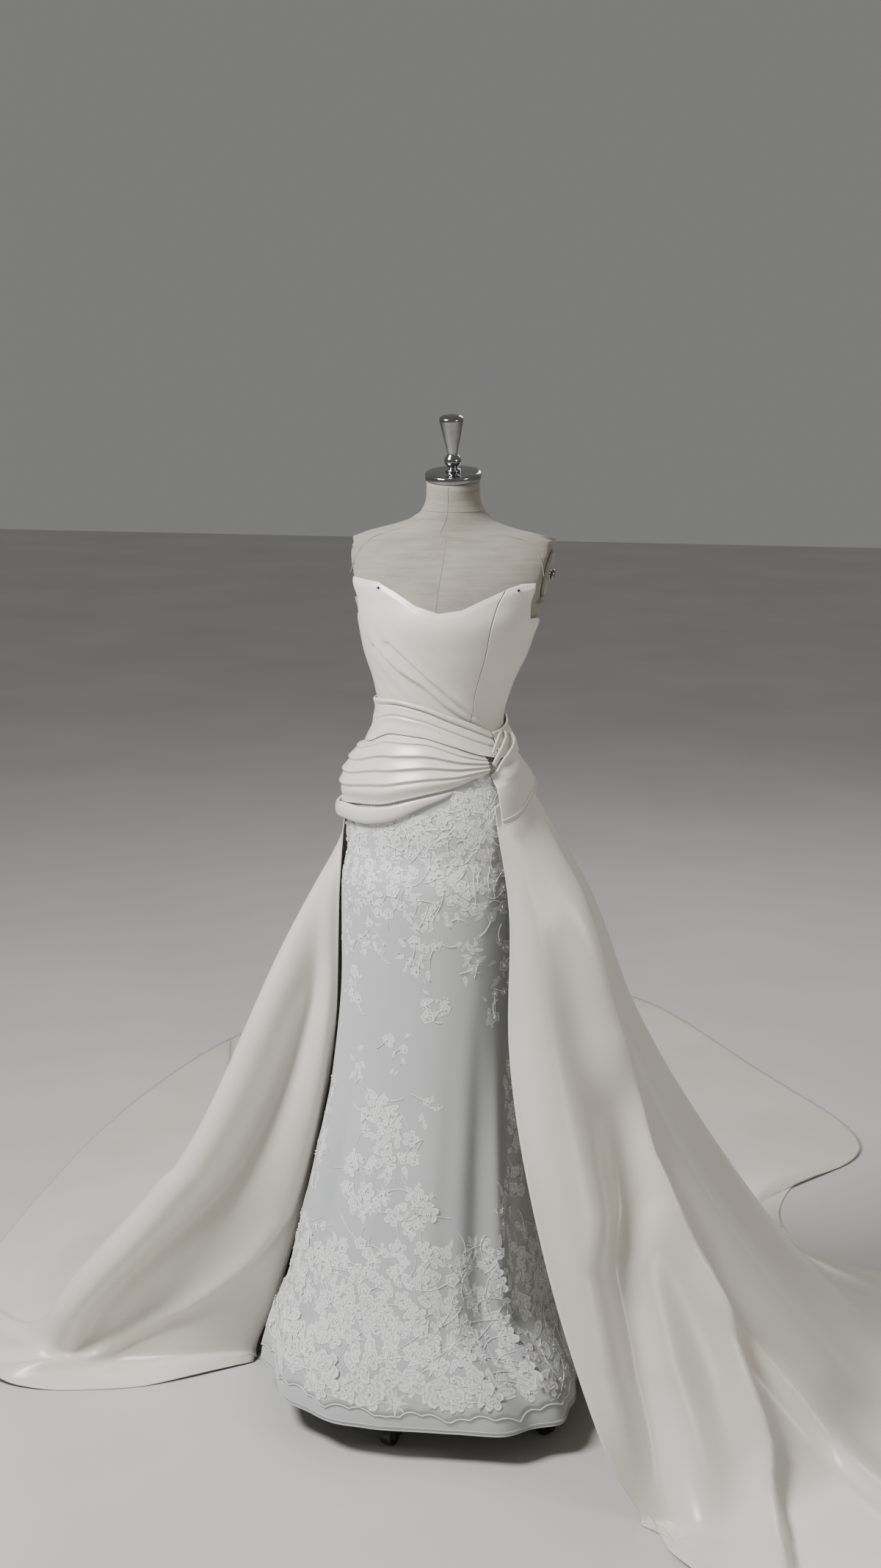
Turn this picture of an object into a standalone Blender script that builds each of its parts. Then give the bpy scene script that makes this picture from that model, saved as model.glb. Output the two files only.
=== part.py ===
"""Wedding dress on a limbless dress form. Metres, +Z up, the form faces -Y.

The form is a table of sections. Every cloth piece is a wall laid on it, or hung
from it, at a named offset, so neighbours keep a gap. The skirts' tables are
written as seen from the front right (VIEW_TURN) and turned onto the form.
"""
import math

import bpy
import numpy as np

VIEW_TURN = math.radians(12)  # the tables' own x axis, turned on to the form
GAP = 0.0010  # between two pieces at a seam
WALL = 0.0015  # satin with its interlining

# materials
COLORS = {  # name: colour, roughness, metallic
    "satin": ((0.80, 0.78, 0.74), 0.38, 0),
    "lace": ((0.80, 0.82, 0.82), 0.75, 0),
    "tulle": ((0.66, 0.69, 0.70), 0.85, 0),
    "linen": ((0.42, 0.38, 0.31), 0.9, 0),
    "chrome": ((0.45, 0.45, 0.46), 0.12, 1),
    "black_plastic": ((0.02, 0.02, 0.022), 0.4, 0),
}


def material(kind, node):
    color, rough, metal = COLORS[kind]
    m = bpy.data.materials.new(node + "_" + kind)
    m.use_nodes = True
    m.diffuse_color = (*color, 1)
    shader = m.node_tree.nodes["Principled BSDF"]
    shader.inputs["Base Color"].default_value = (*color, 1)
    shader.inputs["Roughness"].default_value = rough
    shader.inputs["Metallic"].default_value = metal
    return m


def add(name, points, faces, kind):
    """One closed body, turned so that its faces look out."""
    p = np.asarray(points, float)
    f = np.asarray(faces, int)
    a, b, c = p[f[:, 0]], p[f[:, 1]], p[f[:, 2]]
    if np.einsum("ij,ij->i", a, np.cross(b, c)).sum() < 0:
        f = f[:, ::-1]
    mesh = bpy.data.meshes.new(name)
    mesh.from_pydata(p.tolist(), [], f.tolist())
    mesh.polygons.foreach_set("use_smooth", [True] * len(f))
    obj = bpy.data.objects.new(name, mesh)
    obj.data.materials.append(material(kind, name))
    bpy.context.scene.collection.objects.link(obj)
    return obj


def normals(P, ring):
    """Unit normal at each point of a grid (columns, rows, 3)."""
    if ring:
        du = np.roll(P, -1, 0) - np.roll(P, 1, 0)
    else:
        du = np.gradient(P, axis=0)
    n = np.cross(du, np.gradient(P, axis=1))
    n /= np.maximum(np.linalg.norm(n, axis=2, keepdims=True), 1e-12)
    return n


def wall(name, P, thick, kind, ring=False, n=None):
    """A cloth wall: the grid P is its outer face, thick its thickness.
    n: its outward normals, where it is one panel of a longer cloth that lies on the floor."""
    P = np.asarray(P, float)
    up = n is not None
    if not up:
        n = normals(P, ring)
        out = P - P.mean((0, 1))
        out[..., 2] = 0
        if (n * out).sum() < 0:
            n = -n
    Q = P - n * thick
    if up:
        Q[..., 2] = np.maximum(Q[..., 2], 0.0005)
        P = P.copy()
        P[..., 2] = np.maximum(P[..., 2], Q[..., 2] + 0.8 * thick * np.abs(n[..., 2]) ** 2)
    nu, nv = P.shape[:2]
    pts = np.concatenate([P.reshape(-1, 3), Q.reshape(-1, 3)])
    half = nu * nv
    idx = lambda i, j: (i % nu) * nv + j
    F = []
    for i in range(nu if ring else nu - 1):
        for j in range(nv - 1):
            a, b, c, d = idx(i, j), idx(i + 1, j), idx(i + 1, j + 1), idx(i, j + 1)
            F += [(a, b, c), (a, c, d), (half + a, half + c, half + b), (half + a, half + d, half + c)]
    around = range(nu + 1 if ring else nu)
    rim = [[(i, 0) for i in around], [(i, nv - 1) for i in around][::-1]]
    if not ring:
        rim += [[(nu - 1, j) for j in range(nv)], [(0, j) for j in range(nv)][::-1]]
    for edge in rim:
        for (i0, j0), (i1, j1) in zip(edge, edge[1:]):
            a, b = idx(i0, j0), idx(i1, j1)
            F += [(b, a, half + a), (b, half + a, half + b)]
    return add(name, pts, F, kind)


def loft(name, rings, kind):
    """A solid from a list of closed rings with equal counts, capped at both ends."""
    R = np.asarray(rings, float)
    k, n = R.shape[:2]
    pts = np.concatenate([R.reshape(-1, 3), [R[0].mean(0)], [R[-1].mean(0)]])
    F = []
    for i in range(k - 1):
        for j in range(n):
            a, b = i * n + j, i * n + (j + 1) % n
            F += [(a, b, b + n), (a, b + n, a + n)]
    for j in range(n):
        F.append((k * n, (j + 1) % n, j))
        F.append((k * n + 1, (k - 1) * n + j, (k - 1) * n + (j + 1) % n))
    return add(name, pts, F, kind)


def prism(name, ends, kind):
    """A bar between two like outlines of eight corners, a channel open at the bottom."""
    p = [q for ring in ends for q in ring]
    F = [(i, (i + 1) % 8, 8 + (i + 1) % 8) for i in range(8)] + [(i, 8 + (i + 1) % 8, 8 + i) for i in range(8)]
    for a, b, c in ((0, 1, 6), (0, 6, 7), (1, 2, 5), (1, 5, 6), (2, 3, 4), (2, 4, 5)):
        F += [(a, c, b), (8 + a, 8 + b, 8 + c)]
    return add(name, p, F, kind)


def turned(name, profile, kind, n=24, axis=(0, 0, 1), at=(0, 0, 0), phase=0.0):
    """A solid of revolution: profile rows are (radius, distance along the axis)."""
    w = np.array(axis, float) / np.linalg.norm(axis)
    u = np.cross(w, (0.0, 1.0, 0.0) if abs(w[1]) < 0.9 else (1.0, 0.0, 0.0))
    u /= np.linalg.norm(u)
    v = np.cross(w, u)
    rings = [[np.array(at) + w * h + r * (math.cos(t) * u + math.sin(t) * v)
              for t in np.arange(n) * 2 * math.pi / n + phase] for r, h in profile]
    return loft(name, rings, kind)


def tube(name, path, radii, kind, n=8, flat=1.0, out=(0, -1, 0)):
    """A piped band swept along path; flat squeezes it along out."""
    path = np.asarray(path, float)
    T = np.gradient(path, axis=0)
    T /= np.linalg.norm(T, axis=1, keepdims=True)
    rings = []
    for p, t, r in zip(path, T, radii):
        a = np.array(out, float) - t * np.dot(out, t)
        a /= np.linalg.norm(a)
        b = np.cross(t, a)
        rings.append([p + r * (flat * math.cos(k) * a + math.sin(k) * b) for k in np.arange(n) * 2 * math.pi / n])
    return loft(name, rings, kind)


def smooth(x, xs, ys):
    """Monotone cubic through a table; ys may hold several columns."""
    xs, ys = np.asarray(xs, float), np.asarray(ys, float)
    if ys.ndim > 1:
        return np.stack([smooth(x, xs, ys[:, k]) for k in range(ys.shape[1])], -1)
    h = np.diff(xs)
    d = np.diff(ys) / h
    m = np.zeros(len(xs))
    for i in range(1, len(xs) - 1):
        if d[i - 1] * d[i] > 0:
            w1, w2 = 2 * h[i] + h[i - 1], h[i] + 2 * h[i - 1]
            m[i] = (w1 + w2) / (w1 / d[i - 1] + w2 / d[i])
    m[0], m[-1] = d[0], d[-1]
    x = np.clip(np.asarray(x, float), xs[0], xs[-1])
    i = np.clip(np.searchsorted(xs, x, side="right") - 1, 0, len(xs) - 2)
    t = (x - xs[i]) / h[i]
    return ((2 * t**3 - 3 * t**2 + 1) * ys[i] + (t**3 - 2 * t**2 + t) * h[i] * m[i]
            + (3 * t**2 - 2 * t**3) * ys[i + 1] + (t**3 - t**2) * h[i] * m[i + 1])


def curve(x, xs, ys):
    """Smooth curve through a table, as Catmull-Rom: bends past flat spots."""
    xs, ys = np.asarray(xs, float), np.asarray(ys, float)
    m = np.gradient(ys, xs, axis=0)
    h = np.diff(xs)
    i = int(min(max(np.searchsorted(xs, x, side="right") - 1, 0), len(xs) - 2))
    t = (x - xs[i]) / h[i]
    return ((2 * t**3 - 3 * t**2 + 1) * ys[i] + (t**3 - 2 * t**2 + t) * h[i] * m[i]
            + (3 * t**2 - 2 * t**3) * ys[i + 1] + (t**3 - t**2) * h[i] * m[i + 1])


def step(x, lo, hi):
    t = np.clip((x - lo) / (hi - lo), 0, 1)
    return t * t * (3 - 2 * t)


# the form
BODY = np.array([  # z, half width, front depth, back depth, x centre, y centre
    (0.980, 0.060, 0.050, 0.050, -0.018, -0.014),
    (0.984, 0.110, 0.085, 0.090, -0.018, -0.014),
    (0.996, 0.143, 0.107, 0.113, -0.019, -0.015),
    (1.060, 0.155, 0.116, 0.122, -0.020, -0.018),
    (1.130, 0.147, 0.110, 0.114, -0.020, -0.020),
    (1.200, 0.120, 0.093, 0.094, -0.018, -0.021),
    (1.255, 0.1035, 0.081, 0.080, -0.016, -0.022),
    (1.310, 0.115, 0.091, 0.087, -0.013, -0.020),
    (1.370, 0.138, 0.106, 0.096, -0.009, -0.018),
    (1.420, 0.151, 0.116, 0.100, -0.006, -0.015),
    (1.455, 0.163, 0.108, 0.100, -0.004, -0.012),
    (1.490, 0.185, 0.096, 0.096, -0.002, -0.008),
    (1.530, 0.190, 0.078, 0.086, 0.000, 0.000),
    (1.556, 0.176, 0.066, 0.078, 0.000, 0.005),
    (1.570, 0.120, 0.062, 0.072, -0.010, 0.005),
    (1.585, 0.075, 0.056, 0.062, -0.004, 0.003),
    (1.602, 0.054, 0.050, 0.052, 0.000, 0.000),
    (1.625, 0.0455, 0.0455, 0.046, 0.000, 0.000),
    (1.655, 0.0450, 0.0450, 0.045, 0.000, 0.000),
])
ARM_LOW, ARM_X, ARM_LEAN = 1.455, 0.150, 0.215  # the cut armhole: a leaning plane each side


def body(deg, z, off=0.0):
    """A point on the form, deg round from the front toward +X, moved out by off."""
    a, bf, bb, xc, yc = smooth(z, BODY[:, 0], BODY[:, 1:])
    t = math.radians(deg)
    s, c = math.sin(t), math.cos(t)
    b = bf if c > 0 else bb
    n = np.array([s / a, -c / b])
    n /= np.linalg.norm(n)
    return np.array([xc + a * s + off * n[0], yc - b * c + off * n[1], float(z)])


def torso():
    zs = [0.980, 0.984, 0.996, 1.06, 1.13, 1.18, 1.22, 1.255, 1.29, 1.33, 1.37, 1.41, 1.455, 1.49, 1.53, 1.556,
          1.570, 1.585, 1.602, 1.625, 1.655]
    rings = []
    for z in zs:
        ring = np.array([body(d, z) for d in np.arange(32) * 11.25])
        if z >= ARM_LOW:
            lim = ARM_X + (z - ARM_LOW) * ARM_LEAN
            ring[:, 0] = np.clip(ring[:, 0], -lim, lim)
        ring[:, 2] += ring[:, 1] * math.tan(math.radians(10)) * step(z, 1.60, 1.65)
        rings.append(ring)
    loft("form_torso", rings, "linen")


NECK = np.array([0.0, math.sin(math.radians(-10)), math.cos(math.radians(10))])


def hardware():
    cap = np.array([0, 0, 1.6553])
    turned("neck_cap", [(0.0455, 0), (0.0475, 0.002), (0.0475, 0.009), (0.045, 0.0115), (0.020, 0.0125)],
           "chrome", 20, NECK, cap)
    turned("finial", [(0.0125, 0), (0.0125, 0.003), (0.0075, 0.006), (0.0110, 0.010), (0.0145, 0.017),
                      (0.0135, 0.0225), (0.0085, 0.028), (0.0085, 0.031), (0.0150, 0.060), (0.0203, 0.086),
                      (0.0200, 0.090), (0.0140, 0.0935), (0.0050, 0.0950)],
           "chrome", 14, NECK, cap + NECK * 0.0128)
    lean = math.atan(ARM_LEAN)
    for side, name in ((-1, "left"), (1, "right")):
        out = np.array([side * math.cos(lean), 0, -math.sin(lean)])
        up = np.array([side * math.sin(lean), 0, math.cos(lean)])
        mid = np.array([side * (ARM_X + 0.045 * ARM_LEAN), -0.001, ARM_LOW + 0.045]) + out * 0.0004
        rings = []
        for r, h in ((0.97, 0), (1.0, 0.001), (1.0, 0.0035), (0.96, 0.005)):
            rings.append([mid + out * h + r * (0.041 * math.sin(t) * up + 0.033 * math.cos(t) * np.array([0, 1, 0]))
                          for t in np.arange(20) * math.pi / 10])
        loft("arm_plate_" + name, rings, "linen")
        turned("arm_knob_" + name, [(0.0075, 0), (0.0060, 0.0015), (0.0060, 0.003), (0.0094, 0.0045), (0.0090, 0.0075),
                                    (0.006, 0.009)], "chrome", 10, out, mid + out * 0.0054)
    for name, deg, z in (("pin_left", -35, 1.4800), ("pin_right", 45, 1.4800)):
        p = body(deg, z, 0.0049)
        n = p - body(deg, z, 0.0)
        turned(name, [(0.0008, -0.0022), (0.0020, -0.0010), (0.0024, 0.0), (0.0018, 0.0015), (0.0006, 0.0022)],
               "black_plastic", 6, n, p)


POLE_TOP = 0.9796
STAR, STEM_R = 0.220, 0.005
CASTERS = (242, 314, 26, 98, 170)  # degrees in the table frame


def turn(p):
    """From the tables' frame onto the form."""
    x, y, z = p
    c, s = math.cos(VIEW_TURN), math.sin(VIEW_TURN)
    return np.array([x * c - y * s, x * s + y * c, z])


def stand():
    turned("stand_pole", [(0.014, 0.130), (0.014, 0.940), (0.016, 0.944), (0.040, 0.972), (0.040, POLE_TOP)],
           "chrome", 16)
    hub = [(0.012, 0.060), (0.034, 0.064), (0.040, 0.074), (0.040, 0.094), (0.030, 0.110), (0.022, 0.1296)]
    turned("stand_hub", hub, "black_plastic", 20)
    for k, deg in enumerate(CASTERS):
        d = turn((math.cos(math.radians(deg)), math.sin(math.radians(deg)), 0))
        side = np.array([-d[1], d[0], 0])
        rings = []
        for r, w, lo, hi in ((0.0403, 0.013, 0.070, 0.096), (0.12, 0.011, 0.066, 0.086), (0.205, 0.009, 0.060, 0.074),
                             (0.228, 0.008, 0.060, 0.070)):
            c = d * r
            section = ((-1, lo), (-0.6, lo - 0.002), (0.6, lo - 0.002), (1, lo),
                       (1, hi), (0.6, hi + 0.002), (-0.6, hi + 0.002), (-1, hi))
            rings.append([c + side * a * w + np.array([0, 0, z]) for a, z in section])
        loft("leg_%d" % (k + 1), rings, "black_plastic")
        # the caster trails outward: a bent fork, its cheeks on the wheel's axle
        stem = d * STAR
        ring = ((-0.0145, 0.0150), (-0.0145, 0.0577), (0.0145, 0.0577), (0.0145, 0.0150), (0.0110, 0.0150),
                (0.0110, 0.0450), (-0.0110, 0.0450), (-0.0110, 0.0150))
        prism("caster_%d_fork" % (k + 1), [[stem + d * e + side * w + np.array([0, 0, z]) for w, z in ring]
                                           for e in (-0.004, 0.022)], "black_plastic")
        turned("caster_%d_wheel" % (k + 1), [(0.0030, -0.0107), (0.0030, -0.0100), (0.0190, -0.0100), (0.0210, -0.0080),
                                             (0.0210, 0.0080), (0.0190, 0.0100), (0.0030, 0.0100), (0.0030, 0.0107)],
               "black_plastic", 14, side, stem + d * 0.012 + np.array([0, 0, 0.0205]), math.pi / 14)


# the bodice
NECKLINE = np.array([  # degrees round, z of the top edge
    (-180, 1.410), (-130, 1.412), (-95, 1.420), (-80, 1.428), (-70, 1.430), (-62, 1.460), (-57, 1.494), (-35, 1.489),
    (-24, 1.474), (-13, 1.455), (2, 1.443), (16, 1.449), (26, 1.464), (39, 1.484), (46, 1.490), (56, 1.490),
    (62, 1.462), (70, 1.430), (80, 1.429), (95, 1.420), (130, 1.412), (180, 1.410)])
BODICE_LOW = 1.222
PLEATS = (  # two darts' folds laid over the front: (degrees, z) along each, height
    (((-47, 1.386), (-26, 1.346), (-7, 1.322), (11, 1.290), (32, 1.262), (44, 1.246)), 0.0030),
    (((-32, 1.394), (-21, 1.374), (-2, 1.334), (19, 1.298), (36, 1.274)), 0.0026),
)


def bodice_off(deg, z, v):
    off = 0.0023 + 0.0017 * step(v, 0, 0.12) + 0.004 * math.exp(-((deg - 86) / 17) ** 2) * step(z, 1.385, 1.435)
    for line, high in PLEATS:
        d, zz = np.array(line).T
        if d[0] - 8 < deg < d[-1] + 4:
            at = np.interp(deg, d, zz)
            off += high * math.exp(-((z - at) / 0.009) ** 2) * step(deg, d[0] - 8, d[0] + 4)
    return off


def bodice(name, lo, hi, cols, rows):
    degs = np.linspace(lo, hi, cols)
    keep = [d for d in (-57, 56) if lo < d < hi]
    for k in keep:
        degs[np.argmin(abs(degs - k))] = k
    pad = math.degrees(GAP / 0.12) / 2
    degs[0] += pad
    degs[-1] -= pad
    P = []
    for d in degs:
        dd = (d + 180) % 360 - 180
        top = np.interp(dd, NECKLINE[:, 0], NECKLINE[:, 1])
        P.append([body(d, top + (BODICE_LOW - top) * v, bodice_off(dd, top + (BODICE_LOW - top) * v, v))
                  for v in np.linspace(0, 1, rows)])
    wall(name, P, WALL, "satin")


# sash, drape, roll, flap, knot
def band(name, degs, rows, edge, lift, kind="satin", thick=WALL):
    """A wrap: edge(deg) gives (top z, bottom z), lift(deg, v) the offset off the form."""
    P = []
    for d in degs:
        top, low = edge(d)
        P.append([body(d, top + (low - top) * v, lift(d, v)) for v in np.linspace(0, 1, rows)])
    wall(name, P, thick, kind)


SASH = np.array([  # degrees round, top z, bottom z
    (-301, 1.239, 1.196), (-290, 1.241, 1.196), (-240, 1.262, 1.200),
    (-180, 1.275, 1.205), (-120, 1.282, 1.210), (-68, 1.288, 1.214),
    (-33, 1.293, 1.236), (-8, 1.286, 1.234), (15, 1.271, 1.223), (40, 1.254, 1.205), (58, 1.238, 1.196)])
DRAPE = np.array([  # degrees round, bottom z; its top tucks under the sash
    (-180, 1.118), (-120, 1.108), (-81, 1.106), (-50, 1.112), (-29, 1.118),
    (-13, 1.130), (3, 1.142), (21, 1.154), (33, 1.165), (46, 1.174)])
ROLL = np.array([  # degrees round, middle z, half height
    (-178, 1.104, 0.008), (-120, 1.096, 0.012), (-80, 1.0935, 0.013), (-62, 1.097, 0.0145), (-46, 1.096, 0.0150),
    (-31, 1.1005, 0.0145), (-19, 1.109, 0.0125), (-8, 1.121, 0.0095), (2, 1.131, 0.0065), (12, 1.140, 0.0040)])


def wraps():
    sash = lambda d: smooth(d, SASH[:, 0], SASH[:, 1:])
    drape = lambda d: smooth(d, DRAPE[:, 0], DRAPE[:, 1])

    def sash_lift(d, v):
        belly = 0.0045 * math.sin(math.pi * min(v, 0.5)) ** 0.7 + 0.0018 * math.cos(4 * math.pi * v) * (1 - v)
        return 0.0068 + 0.0017 * step(v, 0, 0.15) + belly + 0.0020 * step(v, 0.55, 0.9)
    band("sash_upper", np.linspace(-300.8, 58, 37), 6, sash, sash_lift)

    def drape_lift(d, v):
        pleat = 0.0020 * math.cos(2 * math.pi * v * 5) * (1 - step(v, 0.5, 0.7))
        side = 0.012 * math.exp(-((d + 95) / 42) ** 2) * math.sin(math.pi * min(v * 1.1, 1)) ** 0.8
        low = (0.0085 + side) * step(v, 0.8, 1.0) * step(d, -75, -45)
        return 0.0117 + (0.0071 + pleat + side) * step(v, 0.09, 0.2) + 0.0010 * v - low
    # the drape's top edge tucks in under the sash's lower edge
    band("hip_drape", np.linspace(-178, 46, 27), 11,
         lambda d: (sash(d)[1] + 0.006 - 0.0075 * step(d, 0, 28), drape(d)), drape_lift)
    degs = np.linspace(-176, 11, 22)
    mids = np.array([smooth(d, ROLL[:, 0], ROLL[:, 1:]) for d in degs])
    path, out = [], []
    for d, (z, r) in zip(degs, mids):
        off = 0.0165 - 0.0075 * step(d, -72, -45) + 0.45 * r + 0.001 * math.exp(-((d + 80) / 40) ** 2)
        path.append(body(d, z - 0.004, off))
        out.append(path[-1] - body(d, z - 0.004, 0))
    rings = []
    T = np.gradient(np.array(path), axis=0)
    for p, t, o, (z, r) in zip(path, T, out, mids):
        t = t / np.linalg.norm(t)
        a = o - t * np.dot(o, t)
        a /= np.linalg.norm(a)
        b = np.cross(t, a)
        rings.append([p + 0.42 * r * math.cos(k) * a + r * 0.95 * math.sin(k) * b for k in np.arange(8) * math.pi / 4])
    loft("hip_roll", rings, "satin")


FLAP = np.array([  # degrees round, top z, bottom z
    (47, 1.170, 1.088), (57, 1.180, 1.094), (67, 1.189, 1.104),
    (77, 1.191, 1.118), (88, 1.189, 1.132), (98, 1.176, 1.150)])


def flap_and_knot():
    flap = lambda d: smooth(d, FLAP[:, 0], FLAP[:, 1:])

    def flap_lift(d, v):
        k = step(d, 64, 84)
        curl = 0.002 * v + 0.003 * math.cos(math.pi * (d - 47) / 25) * v
        return 0.0085 + 0.0080 * k + (0.0120 - 0.0100 * k) * step(v, 0, 0.3) + curl
    band("hip_flap", np.linspace(47.5, 98, 10), 7, flap, flap_lift)
    loops = (  # name, (degrees, z, offset) along the band, width
        ("knot_loop_1", ((49.5, 1.176, 0.0260), (57, 1.192, 0.0275), (67, 1.206, 0.0275),
                         (77, 1.218, 0.0248), (86, 1.231, 0.0148)), 0.0056),
        ("knot_loop_2", ((48.5, 1.188, 0.0238), (55, 1.204, 0.0258), (63, 1.219, 0.0250),
                         (71, 1.229, 0.0200), (77, 1.236, 0.0120)), 0.0054),
        ("knot_loop_3", ((50.5, 1.207, 0.0225), (55, 1.220, 0.0242), (60.5, 1.231, 0.0222),
                         (65.5, 1.236, 0.0182), (69, 1.236, 0.0118)), 0.0044),
    )
    for name, line, r in loops:
        line = np.array(line)
        s = np.linspace(0, len(line) - 1, 9)
        pts = np.array([curve(t, np.arange(len(line)), line) for t in s])
        path = [body(d, z, o) for d, z, o in pts]
        width = r * (0.75 + 0.3 * np.sin(np.pi * s / s[-1]))
        tube(name, path, width, "satin", 8, 0.45, (0.72, -0.69, 0))


# the sheath: tulle, and lace over it
SHEATH = np.array([  # z, half width, half depth, x centre, y centre
    (1.060, 0.1650, 0.1300, -0.022, -0.016),
    (0.950, 0.1650, 0.1340, -0.026, -0.014),
    (0.810, 0.1640, 0.1400, -0.028, -0.010),
    (0.620, 0.1760, 0.1570, -0.034, -0.008),
    (0.450, 0.1990, 0.1860, -0.047, -0.008),
    (0.300, 0.2240, 0.2200, -0.057, -0.008),
    (0.160, 0.2500, 0.2500, -0.060, -0.010)])
HEM = np.array([  # table-frame degrees round from +x, hem radius
    (-180, 0.352), (-168, 0.322), (-147, 0.334), (-132, 0.322), (-120, 0.300), (-90, 0.284), (-72, 0.308), (-58, 0.308),
    (-38, 0.268), (-25, 0.244), (-12, 0.234), (0, 0.244), (14, 0.278), (30, 0.312), (60, 0.324), (90, 0.330), (120, 0.335),
    (150, 0.345), (180, 0.352)])


ROWS_Z = (1.190, 1.160, 1.130, 1.095, 1.060, 1.020, 0.960, 0.840, 0.660, 0.460, 0.270, 0.130, 0.060)


def sheath(n):
    """The sheath's grid: on the form down to the thigh, then the table's own sections."""
    P = []
    for i in range(n):
        ang = 360 * i / n - 180
        c, s = math.cos(math.radians(ang)), math.sin(math.radians(ang))
        r_hem = np.interp(ang, HEM[:, 0], HEM[:, 1])
        col = []
        for z in ROWS_Z:
            a, b, xc, yc = smooth(-z, -SHEATH[:, 0], SHEATH[:, 1:])
            k = step(-z, -0.24, -0.06)
            r = np.array([xc + a * c, yc + b * s]) * (1 - k) + np.array([c, s]) * r_hem * k
            r += np.array([c, s]) * 0.0035 * math.cos(math.radians(ang * 9 + 20)) * step(-z, -0.75, -0.1)
            k = step(z, 0.96, 1.05)
            col.append(turn((*r, z)) * (1 - k) + k * body(ang + 102, z, 0.0018 if z == ROWS_Z[0] else 0.0050))
        P.append(col)
    return np.array(P)


def sheath_pieces():
    P = sheath(32)
    wall("sheath_tulle", P, 0.0010, "tulle", ring=True)
    n = normals(P, True)
    if (n * (P - P.mean((0, 1))))[..., :2].sum() < 0:
        n = -n
    Q = P + n * np.interp(P[..., 2], (0.50, 1.00), (0.0027, 0.0021))[..., None]  # the lace is the tulle's own grid moved out, ending in scallops above its hem
    up = np.array([0.40 + 0.24 * abs(math.sin(math.pi * i / 4)) for i in range(len(Q))])
    Q[:, -1] += (Q[:, -2] - Q[:, -1]) * (1 - up)[:, None] * 0.55
    wall("sheath_lace", Q, 0.0012, "lace", ring=True)


# the overskirt and train
LEVELS = (0.95, 0.72, 0.40, 0.14)  # z of the table's radii
# name, hip degrees on the form, z of the hip's top, z of its flare,
# table-frame degrees and radius at each level, where it lands (x, y), its hem (x, y)
TRAIN = (
    ("front_edge", 46, 1.118, 1.083, (-60, .186), (-66, .229), (-66.5, .378), (-62.6, .519), (.290, -.478), (.313, -.500)),
    ("front_panel", 56, 1.126, 1.088, (-50, .205), (-52, .268), (-50, .405), (-48, .555), (.40, -.500), (.395, -.640)),
    ("valley_1", 64, 1.134, 1.095, (-38, .215), (-38, .275), (-34, .415), (-33, .580), (.54, -.42), (.60, -.840)),
    ("front_fold", 72, 1.140, 1.103, (-27, .224), (-24, .300), (-20, .465), (-18, .660), (.70, -.28), (.93, -.760)),
    ("side_fold", 82, 1.145, 1.116, (-14, .230), (-10, .307), (-6, .480), (-3, .672), (.79, -.06), (1.13, -.370)),
    ("side", 95, 1.200, 1.132, (0, .234), (4, .315), (9, .490), (13, .690), (.80, .14), (1.15, .060)),
    ("side_back", 110, 1.204, 1.132, (18, .230), (22, .315), (26, .495), (30, .710), (.76, .40), (1.02, .380)),
    ("notch", 124, 1.205, 1.125, (38, .226), (40, .315), (43, .505), (44, .730), (.66, .58), (.735, .640)),
    ("tip_fold", 131, 1.205, 1.122, (46, .225), (48, .320), (49, .515), (49, .755), (.55, .66), (.75, .92)),
    ("back_tip", 138, 1.205, 1.120, (54, .224), (55, .325), (54, .530), (54, .790), (.54, .86), (.965, 1.215)),
    ("train_right", 152, 1.205, 1.115, (70, .226), (69, .340), (67, .570), (66, .870), (.50, 1.05), (.800, 1.765)),
    ("train_back", 170, 1.205, 1.100, (85, .205), (84, .350), (83, .600), (83, .920), (.18, 1.20), (.500, 2.395)),
    ("train_centre", 190, 1.160, 1.082, (100, .198), (100, .350), (100, .600), (101, .920), (-.14, 1.18), (-.05, 2.500)),
    ("train_left", 206, 1.155, 1.076, (116, .196), (117, .335), (118, .570), (119, .850), (-.46, .98), (-.535, 2.070)),
    ("left_back", 222, 1.150, 1.070, (132, .198), (134, .325), (136, .530), (137, .770), (-.66, .72), (-.770, 1.560)),
    ("left_lobe", 236, 1.145, 1.066, (147, .208), (150, .320), (152, .500), (153, .715), (-.76, .46), (-.900, .960)),
    ("left_pool", 248, 1.142, 1.066, (160, .222), (164, .325), (166, .490), (167, .700), (-.80, .24), (-.970, .400)),
    ("left_side", 258, 1.138, 1.072, (171, .236), (175, .325), (175, .475), (174, .690), (-.74, .10), (-.860, .045)),
    ("left_ridge", 266, 1.134, 1.070, (178, .222), (178, .255), (175, .370), (172, .560), (-.60, .08), (-.610, -.004)),
    ("left_edge", 274, 1.130, 1.068, (181, .201), (176, .213), (166, .278), (162, .354), (-.362, .118), (-.372, .100)),
)
FOLDS = np.array([  # along the hip (0 right front edge, 1 left front edge), height in metres at the knee
    (0.000, 0.000), (0.045, 0.012), (0.105, -0.022), (0.165, 0.022), (0.215, -0.018), (0.270, 0.026), (0.325, -0.020),
    (0.380, 0.024), (0.430, -0.024), (0.480, 0.026), (0.530, -0.022), (0.580, 0.024), (0.630, -0.022), (0.680, 0.024),
    (0.730, -0.020), (0.785, 0.022), (0.845, -0.020), (0.895, 0.022), (0.940, -0.016), (0.970, 0.008), (1.000, 0.000)])


def train_column(row):
    name, deg, z0, z1, *levels, land, hem = row
    pts = [body(deg, z0, 0.0104), body(deg, z1, 0.0135)]
    for z, (ang, r) in zip(LEVELS, levels):
        a = math.radians(ang)
        pts.append(turn((r * math.cos(a), r * math.sin(a), z)))
    pts.append(turn((*land, 0.035)))
    mid = 0.5 * (np.array(land) + np.array(hem))
    pts.append(turn((*mid, 0.016)))
    pts.append(turn((*hem, 0.004)))
    return np.array(pts)


V_AT = np.array([0, 0.05, 0.14, 0.26, 0.45, 0.62, 0.74, 0.87, 1.0])


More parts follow.
